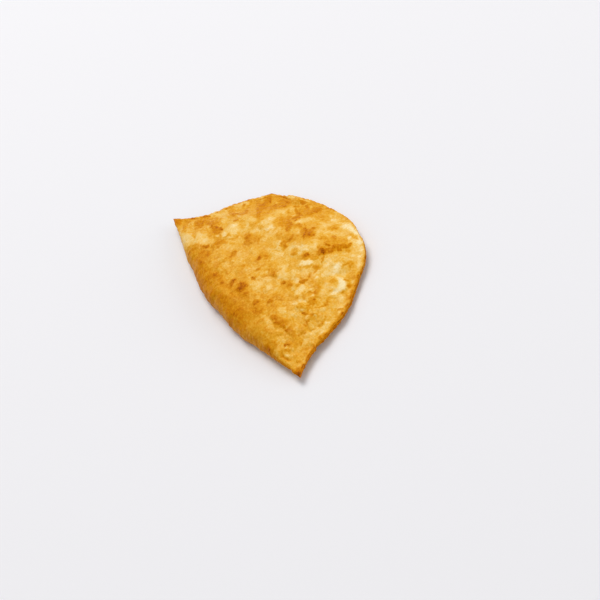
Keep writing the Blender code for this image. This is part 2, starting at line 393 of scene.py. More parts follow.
PALE_PATCHES_AND_HIGHLIGHTS = (
    # wide or faint clear areas
    (334, 308, 12, 14, 0, 0.36),
    (293, 356, 12, 8, 45, 0.42),
    (301, 366, 6, 8, 0, 0.44),
    (188, 234, 10, 10, 0, 0.32),
    (335, 269, 8, 7, 20, 0.24),
    (355, 281, 3, 6, -20, 0.44),
    (295, 230, 5, 4, 0, 0.28),
    (284, 231, 5, 4, 0, 0.36),
    (315, 272, 5, 4, 0, 0.32),
    (315, 261, 5, 4, 0, 0.34),
    (335, 320, 5, 7, -40, 0.36),
    (316, 329, 8, 4.6, 10, 0.28),
    (303, 262, 8, 4, 0, 0.20),
    (226, 211.4, 5, 3, 25, 0.30),
    (245, 219, 7, 5, 10, 0.32),
    (325, 289, 5, 6, 0, 0.28),
    (313.6, 284.2, 3.8, 3.6, 0, 0.38),
    (306, 249, 4, 2.4, 0, 0.16),
    (305, 261, 5, 4, 0, 0.12),
    (335, 219.5, 4, 3, 0, 0.20),
    (315, 220, 4, 3, 0, 0.22),
    (205, 240, 5, 4, 0, 0.12),
    (235.4, 232.2, 4.4, 3.4, 0, 0.19),
    (315.4, 240, 4, 3, 0, 0.28),
    (345, 270, 5, 4, 0, 0.30),
    (295, 361, 4, 3, 0, 0.40),
    (305, 270, 5, 4, 0, 0.28),
    (324, 299, 5, 4, 0, 0.38),
    (325, 260, 4, 4, 0, 0.28),
    (345, 309, 6, 3.6, 60, 0.34),
    # left corner
    (183, 233, 3, 4, 0, 0.31),
    (188, 239, 8, 6, -30, 0.20),
    (197, 240, 8, 4, 0, 0.24),
    (202.5, 233.4, 7, 3.4, 10, 0.19),
    (206, 241, 10, 3.2, 0, 0.21),
    (208, 227, 1.6, 2, 0, 0.30),
    (213.5, 217.3, 3, 1.4, 10, 0.33),
    (222, 214.6, 4, 2.5, 15, 0.27),
    (225.5, 234.3, 2.6, 2.6, 0, 0.10),
    (218, 235.4, 3, 1.4, 0, 0.22),
    (231.5, 237, 4, 1.2, 5, 0.20),
    (235, 224.8, 4.6, 3, 0, 0.08),
    (233.5, 229.6, 9, 5, 12, 0.21),
    (238.6, 215.6, 2.6, 2, 0, 0.23),
    (247.3, 225, 5.6, 2.4, 75, 0.22),
    (247.5, 203, 3, 2.8, 0, 0.26),
    (241.5, 210.4, 2.6, 1, 10, 0.36),
    # upper rim
    (254, 218.8, 3.2, 2, 0, 0.20),
    (257, 229.6, 8, 2.6, 15, 0.24),
    (265, 222.4, 7, 3.4, 0, 0.21),
    (271.8, 217.6, 4.2, 3, 0, 0.17),
    (271, 226.2, 5, 2.6, 10, 0.15),
    (268.2, 228.6, 3, 1.4, 10, 0.11),
    (279, 211, 5, 2.4, 30, 0.33),
    (283.5, 210.4, 4, 1.6, 25, 0.22),
    (293, 209, 5, 3, 0, 0.31),
    (299.5, 220.8, 6, 2.3, 18, 0.19),
    (308.5, 219.6, 8, 2.8, 8, 0.25),
    (305.6, 210, 4.6, 0.8, -80, 0.30),
    (318, 222, 8, 2.2, 0, 0.25),
    (326, 225.6, 7, 4, 0, 0.26),
    (332, 218.6, 2.8, 1.4, 0, 0.14),
    (340, 222.4, 4.4, 1.5, -5, 0.24),
    # From here to (363, 248.6): bright streaks, a glint and pale edge lines along the right rim, partly
    # pale crust and partly painted highlight
    (346, 225.6, 6, 3.6, -12, 0.02),
    (350.6, 229.6, 4.6, 2.8, -35, 0.03),
    (355.6, 231.4, 6.6, 2, -48, 0.04),
    (344, 233, 6, 4, 0, 0.33),
    (361, 240.4, 6, 1.3, -62, 0.13),
    (364.8, 252, 6.4, 1.4, -84, 0.17),
    (350, 237, 1.9, 2.1, 0, 0.05),
    (353.5, 240.4, 4.6, 3.4, 0, 0.20),
    (358.6, 242, 4, 2.6, -40, 0.12),
    (363, 248.6, 4, 2.2, -80, 0.06),
    (357, 246, 5, 4, 0, 0.24),
    (360, 256, 2.2, 2, 0, 0.10),
    (353.4, 254.6, 2.8, 1.9, 0, 0.09),
    (357, 250, 4.4, 2, 0, 0.22),
    (350, 258.5, 7, 1.9, 0, 0.23),
    (359.6, 262.6, 3.2, 6.4, 8, 0.20),
    (355, 270, 3.6, 5, 0, 0.26),
    # middle
    (298, 231, 3, 2.4, 0, 0.20),
    (302, 246.2, 8, 3.4, 10, 0.18),
    (292.5, 246.6, 4, 3.8, 0, 0.21),
    (313.5, 246, 5.4, 2.8, 20, 0.21),
    (300.5, 252, 2.8, 3, 0, 0.21),
    (319, 231, 3, 5, 0, 0.26),
    (328, 231.4, 6, 2.2, 5, 0.25),
    (341, 233.5, 6, 2.4, 0, 0.30),
    (345, 252.6, 2.2, 1.3, 0, 0.24),
    (336, 256.5, 5, 2, 10, 0.32),
    (299.5, 261.6, 9, 4.2, 0, 0.20),
    # painted highlight: a glint in the middle of the piece
    (308, 261.4, 5.4, 3.6, 0, 0.06),
    (330, 260.6, 4.6, 3.4, 60, 0.24),
    (326.6, 264.4, 2.6, 2, 0, 0.10),
    # Next two: painted highlights on a swell, the first the brighter
    (338, 266, 3.6, 3.6, 60, 0.02),
    (335, 271.4, 5.4, 3, 30, 0.12),
    (349, 290, 4, 7, -15, 0.38),
    (345, 272, 6, 5, 0, 0.34),
    (325, 274, 4, 2.4, 0, 0.20),
    (317.6, 276.6, 2.3, 1.9, 0, 0.11),
    # Next four: painted highlight, a bright crescent on the large bubble's rim, partly pale crust
    (341.4, 281, 5.6, 3.4, -52, 0),
    (343, 285.6, 4.4, 4.6, 0, 0),
    (339.6, 289.4, 6.4, 3.6, 32, 0),
    (334, 292.4, 4.8, 2.2, 15, 0.06),
    (331.5, 287.6, 3.4, 2.2, 0, 0.24),
    (326, 284.6, 2.8, 3.2, 0, 0.24),
    (345, 274, 3, 3, 0, 0.24),
    (352.6, 281, 1.8, 1.9, 0, 0.22),
    (295, 271.4, 6, 3.2, 0, 0.22),
    (296.5, 280.4, 4, 3, 0, 0.21),
    (301.5, 289, 5.4, 3.4, 40, 0.17),
    (293.5, 287.6, 3, 3, 0, 0.22),
    (297, 292.6, 4.4, 2.4, 0, 0.20),
    (310.6, 288.5, 3.2, 1.2, 0, 0.22),
    (312, 295.5, 3.6, 1.4, 20, 0.24),
    (302.6, 300.4, 6, 3, 15, 0.20),
    (296, 303, 3.6, 2, 0, 0.20),
    (323, 292.6, 3.8, 3.6, 0, 0.35),
    (336, 306, 1.7, 1.5, 0, 0.28),
    (315, 311, 3.4, 3.4, 0, 0.36),
    (316.6, 318.6, 1.8, 3, 0, 0.36),
    (303, 309.4, 4, 1.3, 0, 0.28),
    (305, 304.5, 1.4, 2.4, 0, 0.28),
    (315.6, 315.6, 1.8, 1.8, 0, 0.20),
    (322, 317, 5, 4.4, 0, 0.38),
    (318, 322, 3.4, 1.8, 0, 0.34),
    (308.4, 316, 1.6, 2.2, 0, 0.24),
    (309.6, 309.2, 1.6, 1.4, 0, 0.26),
    # painted highlight: a glint beside the lower creases
    (327.6, 322.3, 2.7, 1.5, 0, 0.07),
    # lower corner
    (322, 331.6, 3.2, 1.8, 0, 0.15),
    (325, 328, 9, 4.4, 45, 0.26),
    (341, 310, 9, 3.6, 62, 0.28),
    (312, 333.4, 6.4, 3.2, 10, 0.26),
    (306, 342, 4.6, 4, 50, 0.28),
    (300, 349, 2.2, 3, 0, 0.31),
    (294, 348, 2.2, 2, 0, 0.30),
    # Next two: painted highlights along the lower side of the crease by the lower corner
    (288, 354.4, 2.8, 1.6, -28, 0.14),
    (287, 361, 6, 1.3, -38, 0.31),
    (299.4, 364.6, 3.2, 1.8, 0, 0.28),
    (295.6, 367.4, 3, 1.8, -30, 0.30),
)

# Creases: start, middle and end pixel, half width in mm, depth in mm, tone. The tone darkens each
# crease, partly as browning and partly as painted shade in its groove.
CREASES = (
    ((279, 196), (284, 196.6), (291, 198.6), 0.70, 0.35, 0.88),
    ((286, 242), (289, 239.6), (292.4, 236.4), 0.70, 0.60, 0.72),
    ((328.4, 297), (325, 304.6), (314.4, 307.4), 0.85, 0.25, 0.68),
    ((315.5, 301.2), (309.6, 304.4), (307.8, 311.5), 0.95, 0.10, 0.61),
    ((313, 321.6), (317.4, 325.4), (325, 323.8), 0.50, 0.12, 0.57),
    ((309.6, 328.2), (312.6, 328.6), (316.4, 327.6), 0.45, 0.08, 0.57),
    ((281, 351.4), (284.6, 356.2), (290.6, 360.4), 1.00, 0.75, 0.74),
    ((277, 219), (288, 217.6), (300, 215.4), 0.60, 0.20, 0.54),
    ((240.6, 236), (245, 234.8), (249.4, 231.4), 0.70, 0.35, 0.58),
    ((308, 277.8), (310, 275.2), (312.2, 272), 0.85, 0.15, 0.68),
    ((330, 330), (321, 338), (309, 346), 0.80, 0.20, 0.46),
    ((188.6, 231.6), (194, 232.6), (195.6, 238), 0.60, 0.25, 0.50),
)

# Thin-walled bubbles with a browner foot: pixel, radius in mm, rise in mm, tone of the foot
BUBBLES = (
    ((301, 305.6), 4.4, 0.70, 0.50),
    ((290, 347.2), 4.0, 0.50, 0.54),
    ((337, 284), 7.4, 1.20, 0.44),
    ((298, 200.8), 4.6, 0.80, 0.60),
    ((340, 262), 8.0, 0.80, 0.40),
    ((310, 245), 6.5, 0.60, 0.42),
    ((230, 231), 8.0, 0.80, 0.42),
    ((268, 223), 6.5, 0.70, 0.42),
    ((322, 313), 7.5, 0.30, 0.42),
    ((299, 290), 6.5, 0.60, 0.42),
    ((349, 229), 6.0, 0.70, 0.34),
    ((325, 325), 3.4, 0.35, 0.40),
    ((312, 338), 6.0, 0.50, 0.44),
    ((204, 237), 6.5, 0.60, 0.40),
)

# ---------------------------------------------------------------- how the marks are laid
# How much wider across the line of sight the ovals are laid than their rays give, and the shift in
# pixels that keeps all marks in place once the skin has risen towards the eye
MARK_SPREAD = 1.08
MARK_SHIFT = (-0.3, 1.0)

# How far marks are bent out of shape and over what length, how ragged the ovals' edges are as a share
# of their half axes, and how soft: distances from the middle where the mark starts and ends fading
MARK_BEND = 0.0006
MARK_BEND_LENGTH = 0.0040
OVAL_RAGGEDNESS = 0.20
OVAL_RAG_LENGTH = 0.0020
PALE_FADE = (0.20, 1.40)
PALE_STRENGTH = 0.9
BROWN_FADE = (0.66, 1.24)

# Creases: strength of the tone, share of it at the two ends, samples along the curve. Bubbles: power
# of the dome, depth, distance and width of the moat round it, and the same of its browner foot.
CREASE_STRENGTH = 0.9
CREASE_END_SHARE = 0.4
CREASE_SAMPLES = 25
DOME_POWER = 0.8
BUBBLE_MOAT = (0.12, 1.14, 0.15)
BUBBLE_FOOT = (0.45, 1.02, 0.16)

# ---------------------------------------------------------------- skin
# Plain tone of the skin, clouds of browning in it, each with its change of tone, size, octaves and
# seed, and its broad waves
SKIN_TONE = 0.40
SKIN_CLOUDS = (
    (0.09, 0.019, 3, 5),
    (0.02, 0.0042, 2, 15),
)
SKIN_WAVE_HEIGHT = 0.00045
SKIN_WAVE_LENGTH = 0.014

# Bubbled skin, from large to small: cell size in mm, rise and tone change. Its cells are stretched
# along X, and their borders bent by shares of the size. A dome is full at one gap to the border, and
# the border's tint ends at another. Domes of high value are browned, by 1.5 less 1 at the most, those
# of low value are pale, by 1, and those between, the plainest, rise least.
SKIN_STRETCH = 1.25
CELL_BEND = 0.30
CELL_BEND_LENGTH = 0.9
DOME_GAP = 0.42
BORDER_GAP = 0.14
BORDER_TINT = 0.35
BROWNED_VALUES = (0.55, 0.95)
PALE_VALUES = (0.0, 0.40)
PLAINEST_RISE = 0.35
SKIN_CELLS = (
    (9.0, 0.45, 0.13),
    (4.6, 0.26, 0.08),
    (2.3, 0.09, 0.03),
)

# ---------------------------------------------------------------- seeded blisters, all over
# Middle and half axes, from the origin in metres, of the part of the upper side that the photograph
# doesn't show
UNSEEN_MIDDLE = (0.004, -0.010)
UNSEEN_HALF = (0.06984, 0.04074)

# Seeded scatter over the whole crust: count tried, radius range, rise share of the radius
SCATTER = (
    (140, 2.6, 6.5, 0.10),
    (260, 1.2, 2.6, 0.14),
)
SCATTER_SEED = 23
SCATTER_GAP = 0.86
SCATTER_STRETCH = (0.75, 1.3)
SCATTER_REACH = 1.6
OFF_RIM_SHARE = 0.6

# A blister above this radius keeps off what the photograph shows, and the others rise less there. Its
# outline is bent like the marks', its moat and foot are given like a bubble's, and by its seeded frying
# its top is browned, plain or pale.
LARGE_BLISTER = 0.0021
SHOWN_RISE_SHARE = 0.5
BLISTER_BEND = 0.0011
BLISTER_BEND_LENGTH = 0.0050
BLISTER_TOP = (0.45, 1.20)
BLISTER_MOAT = (0.10, 1.12, 0.16)
BLISTER_FOOT = (0.05, 1.0, 0.22)
BROWNED_ABOVE = 0.45
BROWNED_CHANGE = 0.14
BROWNED_BY_FRYING = 0.32
PALE_BELOW = 0.2
PALE_TONE = 0.26
PALE_SHARE = 0.6

# ---------------------------------------------------------------- underside, rim, corners and fold
# Underside: its tone, the plain one it stands for, contrast, strength and where it begins from the fold
UNDERSIDE_TONE = 0.46
UNDERSIDE_PLAIN = 0.37
UNDERSIDE_CONTRAST = 0.95
UNDERSIDE_STRENGTH = 0.8
UNDERSIDE_START = 0.006

# Mottle of rim and fold, and how patchy it makes the toasted edges: least share and share by mottle
EDGE_MOTTLE_LENGTH = 0.0055
TOASTED_SHARES = (0.9, 0.5)
OFF_TIPS = (0.010, 0.040)

# Pressed rim: change of tone where it is well browned, where it stays clear and by mottle, the shares
# of its width between which that fades; toasted tone, width of the toasted edge (from, to, more off the
# tips), and a faint tint beside it
RIM_BROWNED = 0.04
RIM_CLEARED = 0.12
RIM_MOTTLE = 0.08
RIM_FADE = (0.2, 1.3)
TOASTED_TONE = 0.58
TOASTED_EDGE = (0.0003, 0.0014, 0.0010)
TOASTED_TINT = 0.02
TOASTED_TINT_EDGE = (0.001, 0.006)

# Dark line on the cut edge: tone, width, share, its changes by mottle, where toasted and where clear,
# and the most it may be
CUT_LINE_TONE = 0.84
CUT_LINE_WIDTH = 0.0009
CUT_LINE_SHARE = 0.50
CUT_LINE_MOTTLE = 0.9
CUT_LINE_TOASTED = 0.1
CUT_LINE_CLEARED = 0.8
CUT_LINE_MOST = 0.85
CUT_FACE_STRENGTH = 0.8

# Corners: warm tint, its strength and reach; dark point, its two tones, strength and reach
TIP_TONE = 0.48
TIP_STRENGTH = 0.45
TIP_REACH = 0.012
POINT_TONES = (0.74, 0.95)
POINT_STRENGTH = 0.9
POINT_REACH = 0.0028
END_TONE = 0.9

# Fold: tone and width of its toasted edge, share of it away from the lower corner and where that
# begins; tone, strength and change of its flank, between these distances from the tips and the fold
FOLD_EDGE_TONE = 0.68
FOLD_EDGE = (0.0003, 0.0012, 0.0020)
FOLD_EDGE_LEAST = 0.35
LOW_TIP_FROM = (0.045, 0.085)
# The flank's tone is partly browning and partly painted shade, since the flank faces away from the
# lights.
FLANK_TONE = 0.61
FLANK_MOTTLE = 0.08
FLANK_STRENGTH = 0.8
FLANK_CHANGE = 0.06
FLANK_OFF_TIP = (0.026, 0.058)
FLANK_WIDTH = (0.004, 0.026)

# Ridges that the fluted wheel pressed into the rim: height, phase, shares of the rim's width between
# which they fade, least share; and where all relief fades to the points
RIDGE_HEIGHT = 0.00007
RIDGE_PHASE = 0.8
RIDGE_FADE = (0.3, 1.0)
RIDGE_LEAST = 0.3
RELIEF_OFF_POINT = 0.004


# ---------------------------------------------------------------- plan and section of the piece
def plan_point(alpha, across):
    """Point of the half-moon's plan: rim and fold are arcs through the two tips, lines of one
    `across` are such arcs too, and lines of one alpha are circles that cross them squarely."""
    on_middle = ROUND_RADIUS - (ROUND_RADIUS + FOLD_BULGE) * across
    sigma = 2.0 * np.arctan2(ROUND_RADIUS, on_middle)
    share = 1.0 - np.cos(sigma) * np.cos(alpha)
    x = ROUND_RADIUS * np.sin(alpha) / share
    y = ROUND_RADIUS * np.sin(sigma) * np.cos(alpha) / share
    return x, y


def alpha_at(x, y):
    """Alpha of a plan point: its sine is 2 a x over x squared plus y squared plus a squared."""
    sine = 2.0 * ROUND_RADIUS * x / (x**2 + y**2 + ROUND_RADIUS**2)
    return np.arcsin(np.clip(sine, -1.0, 1.0))


def across_at(x, y):
    """`across` of a plan point, from the angle under which it sees the two tips."""
    sigma = np.arctan2(2.0 * ROUND_RADIUS * y, x**2 + y**2 - ROUND_RADIUS**2) % (2.0 * np.pi)
    on_middle = ROUND_RADIUS / np.tan(0.5 * np.maximum(sigma, 1e-6))
    return np.clip((ROUND_RADIUS - on_middle) / (ROUND_RADIUS + FOLD_BULGE), 0.0, 1.0)


def rim_distance(x, y):
    """Distance inwards from the curved rim."""
    return np.maximum(ROUND_RADIUS - np.hypot(x, y), 0.0)


def fold_distance(x, y):
    """Distance inwards from the fold, an arc with its middle on the +Y side."""
    fold_radius = (ROUND_RADIUS**2 + FOLD_BULGE**2) / (2.0 * FOLD_BULGE)
    return np.maximum(fold_radius - np.hypot(x, y - (fold_radius - FOLD_BULGE)), 0.0)


def tip_distance(x, y):
    """Distance to the nearer of the two tips."""
    return np.hypot(ROUND_RADIUS - np.abs(x), y)


def rim_width(x, y):
    """Width of the pressed rim, wider on one side of the piece than on the other."""
    return RIM_WIDTH - RIM_WIDTH_CHANGE * np.sin(RIM_WIDTH_SWING * np.arctan2(x, y))


def rounded(distance, radius):
    """Quarter-circle rise from 0 at distance 0 to 1 at distance radius."""
    left = 1.0 - np.clip(distance / radius, 0.0, 1.0)
    return np.sqrt(np.maximum(1.0 - left**2, 0.0))


def soft_step(low, high, value):
    """0 below low, 1 above high, and a cubic between, with level ends."""
    t = np.clip((value - low) / (high - low), 0.0, 1.0)
    return t * t * (3.0 - 2.0 * t)


def soft_fade(low, high, value):
    """1 below low, 0 above high: what the soft step leaves over."""
    return 1.0 - soft_step(low, high, value)


def bell(value, middle, half_length):
    """Gaussian hump of height 1 about the middle."""
    return np.exp(-(((value - middle) / half_length) ** 2))


def rim_shift(x, y, alpha):
    """How far the rim stands out from its circle: a slow wobble, lumps and bays."""
    inwards = rim_distance(x, y)
    wave = RIM_WOBBLE * np.sin(WOBBLE_WAVES * alpha + RIM_WOBBLE_PHASE)
    wobble = wave * np.exp(-inwards / SHOULDER)
    shift = wobble * np.sqrt(np.maximum(np.cos(alpha), 0.0))
    short_of_fold = 1.0 - across_at(x, y)
    for degrees, half_length, height, reach in RIM_LUMPS:
        fade = np.exp(-inwards / (reach * MM)) * short_of_fold
        shift = shift + height * MM * bell(np.degrees(alpha), degrees, half_length) * fade
    return shift


def draw_out(x, y):
    """The plan as it really lies: corners drawn out to points, rim and fold a little uneven."""
    alpha = alpha_at(x, y)
    reach = np.exp(-tip_distance(x, y) / HORN_REACH)
    shift = rim_shift(x, y, alpha)
    at_fold = np.exp(-fold_distance(x, y) / SHOULDER) * np.cos(alpha)
    fold_wave = FOLD_WOBBLE * np.sin(WOBBLE_WAVES * alpha + FOLD_WOBBLE_PHASE)
    drawn_x = x + np.sign(x) * HORN_LENGTH * reach + shift * np.sin(alpha)
    drawn_y = y + shift * np.cos(alpha) + fold_wave * at_fold
    return drawn_x, drawn_y


def middle_height(alpha):
    """Height of the level where the two sheets meet: the rim's height and its wave, two sines."""
    wave = sum(share * np.sin(waves * alpha + phase) for share, waves, phase in RIM_WAVE_PARTS)
    return RIM_HEIGHT + RIM_WAVE * wave


def puff(x, y, height):
    """Rise of a sheet inside the pressed rim, which lifts off softly, gets steeper and levels off:
    `height` less its product with the square of what is left of the way to the shoulder."""
    inside = np.clip((rim_distance(x, y) - 0.5 * rim_width(x, y)) / SHOULDER, 0.0, 1.0)
    return height * (1.0 - (1.0 - inside**LIFT_OFF) ** 2)


def swells(x, y):
    """Sum of the broad swells and dents, each a Gaussian bump over a turned ellipse."""
    total = np.zeros_like(x)
    for mid_x, mid_y, along, wide, turn, height in SWELLS:
        u, v = turned(x - mid_x * MM, y - mid_y * MM, turn)
        total += height * MM * np.exp(-SWELL_FALL * ((u / (along * MM)) ** 2 + (v / (wide * MM)) ** 2))
    return total


def turned(dx, dy, degrees):
    """Offsets along and across an axis that is turned by so many degrees from +X."""
    c = math.cos(math.radians(degrees))
    s = math.sin(math.radians(degrees))
    return dx * c + dy * s, dy * c - dx * s


def fold_share(alpha):
    """Share of the way from fold to rim that the round of the fold takes up: it is wide where the
    sheets are puffed up and only a crease at the flat corners."""
    rim_x, rim_y = plan_point(alpha, 0.0)
    fold_x, fold_y = plan_point(alpha, 1.0)
    radius = FOLD_CREASE + (FOLD_ROUND - FOLD_CREASE) * puff(fold_x, fold_y, 1.0)
    return np.minimum(radius / np.hypot(rim_x - fold_x, rim_y - fold_y), FOLD_ROUND_SHARE)


def sheet_height(x, y, upper):
    """Height of the smooth upper or under sheet above the table at a plan point: half the rim's
    thickness, a fifth thinner at its very edge, and the puff and swells, all rolled in to the fold."""
    alpha = alpha_at(x, y)
    roll = rounded(1.0 - across_at(x, y), fold_share(alpha))
    edge = 0.5 * RIM_THICKNESS * rounded(tip_distance(x, y), TIP_ROUND)
    edge = edge * (0.8 + 0.2 * rounded(rim_distance(x, y), 0.5 * RIM_THICKNESS))
    if upper:
        relief = swells(x, y) * rounded(rim_distance(x, y), SHOULDER) ** 2
        return middle_height(alpha) + (edge + puff(x, y, CROWN) + relief) * roll
    return middle_height(alpha) - (edge + puff(x, y, BELLY)) * roll


def settled(z):
    """Height of the under sheet once it lies on a table: flat at 0, with a soft turn up from it."""
    turning = (np.clip(z, -SETTLE, SETTLE) + SETTLE) ** 2 / (4.0 * SETTLE)
    return np.where(z > SETTLE, z, turning)


def plan_centre():
    """Middle of the drawn plan's bounding box, from its rim and fold."""
    alpha = np.linspace(-0.5, 0.5, 2001) * np.pi
    edges = [np.stack(draw_out(*plan_point(alpha, across))) for across in (0.0, 1.0)]
    corners = np.concatenate(edges, axis=1)
    return 0.5 * (corners.min(axis=1) + corners.max(axis=1))


CENTRE_X, CENTRE_Y = plan_centre()


# ---------------------------------------------------------------- the camera's rays
def camera_axes():
    """Place of the camera and its right, up and forward directions."""
    rise = math.radians(VIEW_ELEVATION)
    heading = math.radians(VIEW_HEADING)
    roll = math.radians(VIEW_ROLL)
    level = Vector((math.cos(heading), math.sin(heading), 0.0))
    forward = level * math.cos(rise) - Vector((0.0, 0.0, math.sin(rise)))
    right = forward.cross(Vector((0.0, 0.0, 1.0))).normalized()
    up = right.cross(forward)
    rolled_right = right * math.cos(roll) - up * math.sin(roll)
    rolled_up = up * math.cos(roll) + right * math.sin(roll)
    aim = Vector((VIEW_AIM[0] - CENTRE_X, VIEW_AIM[1] - CENTRE_Y, VIEW_AIM[2]))
    return aim - forward * VIEW_DISTANCE, rolled_right, rolled_up, forward


EYE, EYE_RIGHT, EYE_UP, EYE_FORWARD = camera_axes()


def undrawn(x, y):
    """Plan point whose drawn-out place is (x, y), by going back a few times."""
    plan_x, plan_y = x, y
    for _ in range(UNDRAW_ROUNDS):
        drawn_x, drawn_y = draw_out(plan_x, plan_y)
        plan_x = plan_x + UNDRAW_STEP * (x - drawn_x)
        plan_y = plan_y + UNDRAW_STEP * (y - drawn_y)
    return plan_x, plan_y


def seen_on_crust(pixels):
    """Drawn plan points, in the plan's own frame, where the rays through the pixels meet the
    upper sheet. The ray is cut by a level plane, whose height is then corrected to the sheet's."""
    focal = LENS_MM / SENSOR_MM * PHOTO_SIDE
    spots = np.atleast_2d(np.asarray(pixels, float)) + MARK_SHIFT
    right = (spots[:, 0] - 0.5 * PHOTO_SIDE) / focal
    up = (0.5 * PHOTO_SIDE - spots[:, 1]) / focal
    ray = np.array(EYE_FORWARD) + right[:, None] * np.array(EYE_RIGHT) + up[:, None] * np.array(EYE_UP)
    height = np.full(len(spots), RIM_HEIGHT + 0.5 * CROWN)
    for _ in range(RAY_ROUNDS):
        reach = (height - EYE.z) / ray[:, 2]
        x = EYE.x + reach * ray[:, 0] + CENTRE_X
        y = EYE.y + reach * ray[:, 1] + CENTRE_Y
        sheet = sheet_height(*undrawn(x, y), True)
        height = height + RAY_STEP * (sheet - height)
    return np.stack((x, y), axis=1)


# ---------------------------------------------------------------- seeded noise
LATTICE = 64
NOISE_START = (0.37, 0.61)
NOISE_GAIN = 1.6
CELLS_START = (0.31, 0.57)
CELL_SPOTS = (0.1, 0.9)
OCTAVE_TURN = 37.0


def on_lattice(x, y, cell, start):
    """Place in a square lattice that starts at shares of its size, in cells, and the square's two
    whole numbers."""
    u = x / cell + start[0] * LATTICE
    v = y / cell + start[1] * LATTICE
    return u, v, np.floor(u).astype(int), np.floor(v).astype(int)


def noise(x, y, cell, seed):
    """Gradient noise of about -1 to 1: seeded slopes at the corners of a square lattice, blended
    over each cell with a quintic."""
    turns = np.random.RandomState(seed).uniform(0.0, 2.0 * np.pi, (LATTICE, LATTICE))
    u, v, column, line = on_lattice(x, y, cell, NOISE_START)
    fu = u - column
    fv = v - line

    def slope(i, j):
        turn = turns[(column + i) % LATTICE, (line + j) % LATTICE]
        return np.cos(turn) * (fu - i) + np.sin(turn) * (fv - j)

    su = fu**3 * (fu * (6.0 * fu - 15.0) + 10.0)
    sv = fv**3 * (fv * (6.0 * fv - 15.0) + 10.0)
    near = slope(0, 0) * (1.0 - su) + slope(1, 0) * su
    far = slope(0, 1) * (1.0 - su) + slope(1, 1) * su
    return NOISE_GAIN * (near * (1.0 - sv) + far * sv)


def line_noise(along, cell, seed):
    """The same noise along one line of the lattice."""
    return noise(along, 0.0 * along, cell, seed)


def rough(x, y, cell, octaves, seed):
    """Sum of noises, each half as high and half as wide as the last and turned against it."""
    total = np.zeros_like(x)
    height = 1.0
    for octave in range(octaves):
        u, v = turned(x, y, OCTAVE_TURN * octave)
        total += height * noise(u, v, cell, seed + octave)
        height *= 0.5
        cell *= 0.5
    return total


def bent_places(x, y, depth, length, seed):
    """Places bent out of shape, each coordinate by a noise of its own."""
    return x + depth * rough(x, y, length, 3, seed), y + depth * rough(x, y, length, 3, seed + 4)


def cells(x, y, size, seed):
    """Cell pattern over points strewn one to a square of a lattice: how much farther the second
    nearest point is than the nearest (0 on a cell's border), and the nearest one's seeded value."""
    draw = np.random.RandomState(seed)
    places = draw.uniform(*CELL_SPOTS, (LATTICE, LATTICE, 2))
    values = draw.uniform(0.0, 1.0, (LATTICE, LATTICE))
    u, v, column, line = on_lattice(x, y, size, CELLS_START)
    nearest = np.full(u.shape, np.inf)
    second = nearest.copy()
    value = np.zeros_like(u)
    for i in (-1, 0, 1):
        for j in (-1, 0, 1):
            square = (column + i) % LATTICE, (line + j) % LATTICE
            place = places[square]
            distance = np.hypot(u - column - i - place[..., 0], v - line - j - place[..., 1])
            closer = distance < nearest
            second = np.where(closer, nearest, np.minimum(second, distance))
            value = np.where(closer, values[square], value)
            nearest = np.minimum(nearest, distance)
    return second - nearest, value


# ---------------------------------------------------------------- the crust's grid
class Crust:
    """Arrays over the grid of stations and ring rows: plan point (alpha, x, y), side (1 on the upper
    sheet, -1 on the under one, 0 on the cut face), distance from the rim, the surface's points, second
    coordinate of the unrolled skin, bent places, raggedness, tone and lift."""


def ring_rows(share, body_rows):
    """Places across a sheet from rim (0) to just short of the fold (1): even up to the round of
    the fold, whose quarter circle is then turned through in even steps."""
    even = (1.0 - share)[:, None] * (np.arange(body_rows) / body_rows)[None, :]
    turns = 0.5 * np.pi * (1.0 - np.arange(ROLL_ROWS) / ROLL_ROWS)
    rolled = 1.0 - share[:, None] * (1.0 - np.cos(turns))[None, :]
    return np.concatenate((even, rolled), axis=1)


def smooth_crust():
    """The crust before relief: over the upper sheet, round the fold, back under the other sheet
    and up the rim's cut face."""
    crust = Crust()
    even = np.linspace(-TIP_CROWDING, TIP_CROWDING, STATIONS)
    alpha = (0.5 * np.pi - TIP_GAP) * np.sin(even) / math.sin(TIP_CROWDING)
    share = fold_share(alpha)
    upper = np.concatenate((ring_rows(share, TOP_ROWS), np.ones((STATIONS, 1))), axis=1)
    under = ring_rows(share, UNDER_ROWS)[:, ::-1]
    cut = np.zeros((STATIONS, len(CUT_FACE_ROWS)))
    across = np.concatenate((upper, under, cut), axis=1)
    crust.alpha = np.broadcast_to(alpha[:, None], across.shape)
    crust.x, crust.y = plan_point(crust.alpha, across)
    crust.side = np.concatenate((np.ones_like(upper), -np.ones_like(under), np.zeros_like(cut)), axis=1)
    crust.rim = rim_distance(crust.x, crust.y)
    drawn_x, drawn_y = draw_out(crust.x, crust.y)
    z = np.where(
        crust.side > 0.0,
        sheet_height(crust.x, crust.y, True),
        sheet_height(crust.x, crust.y, False),
    )
    crust.points = np.stack((drawn_x, drawn_y, z), axis=-1)
    crust.skin_y = skin_places(crust, upper.shape[1])
    push_out_rim(crust, len(CUT_FACE_ROWS))
    return crust


def skin_places(crust, fold_row_end):
    """Second coordinate of the unrolled skin: distance from the fold along the ring, over the top
    counted up from the fold's own y and below counted down from it."""
    steps = np.linalg.norm(np.diff(crust.points, axis=1), axis=2)
    walked = np.concatenate((np.zeros((STATIONS, 1)), np.cumsum(steps, axis=1)), axis=1)
    fold = fold_row_end - 1
    return crust.points[:, fold, 1][:, None] + walked[:, fold][:, None] - walked


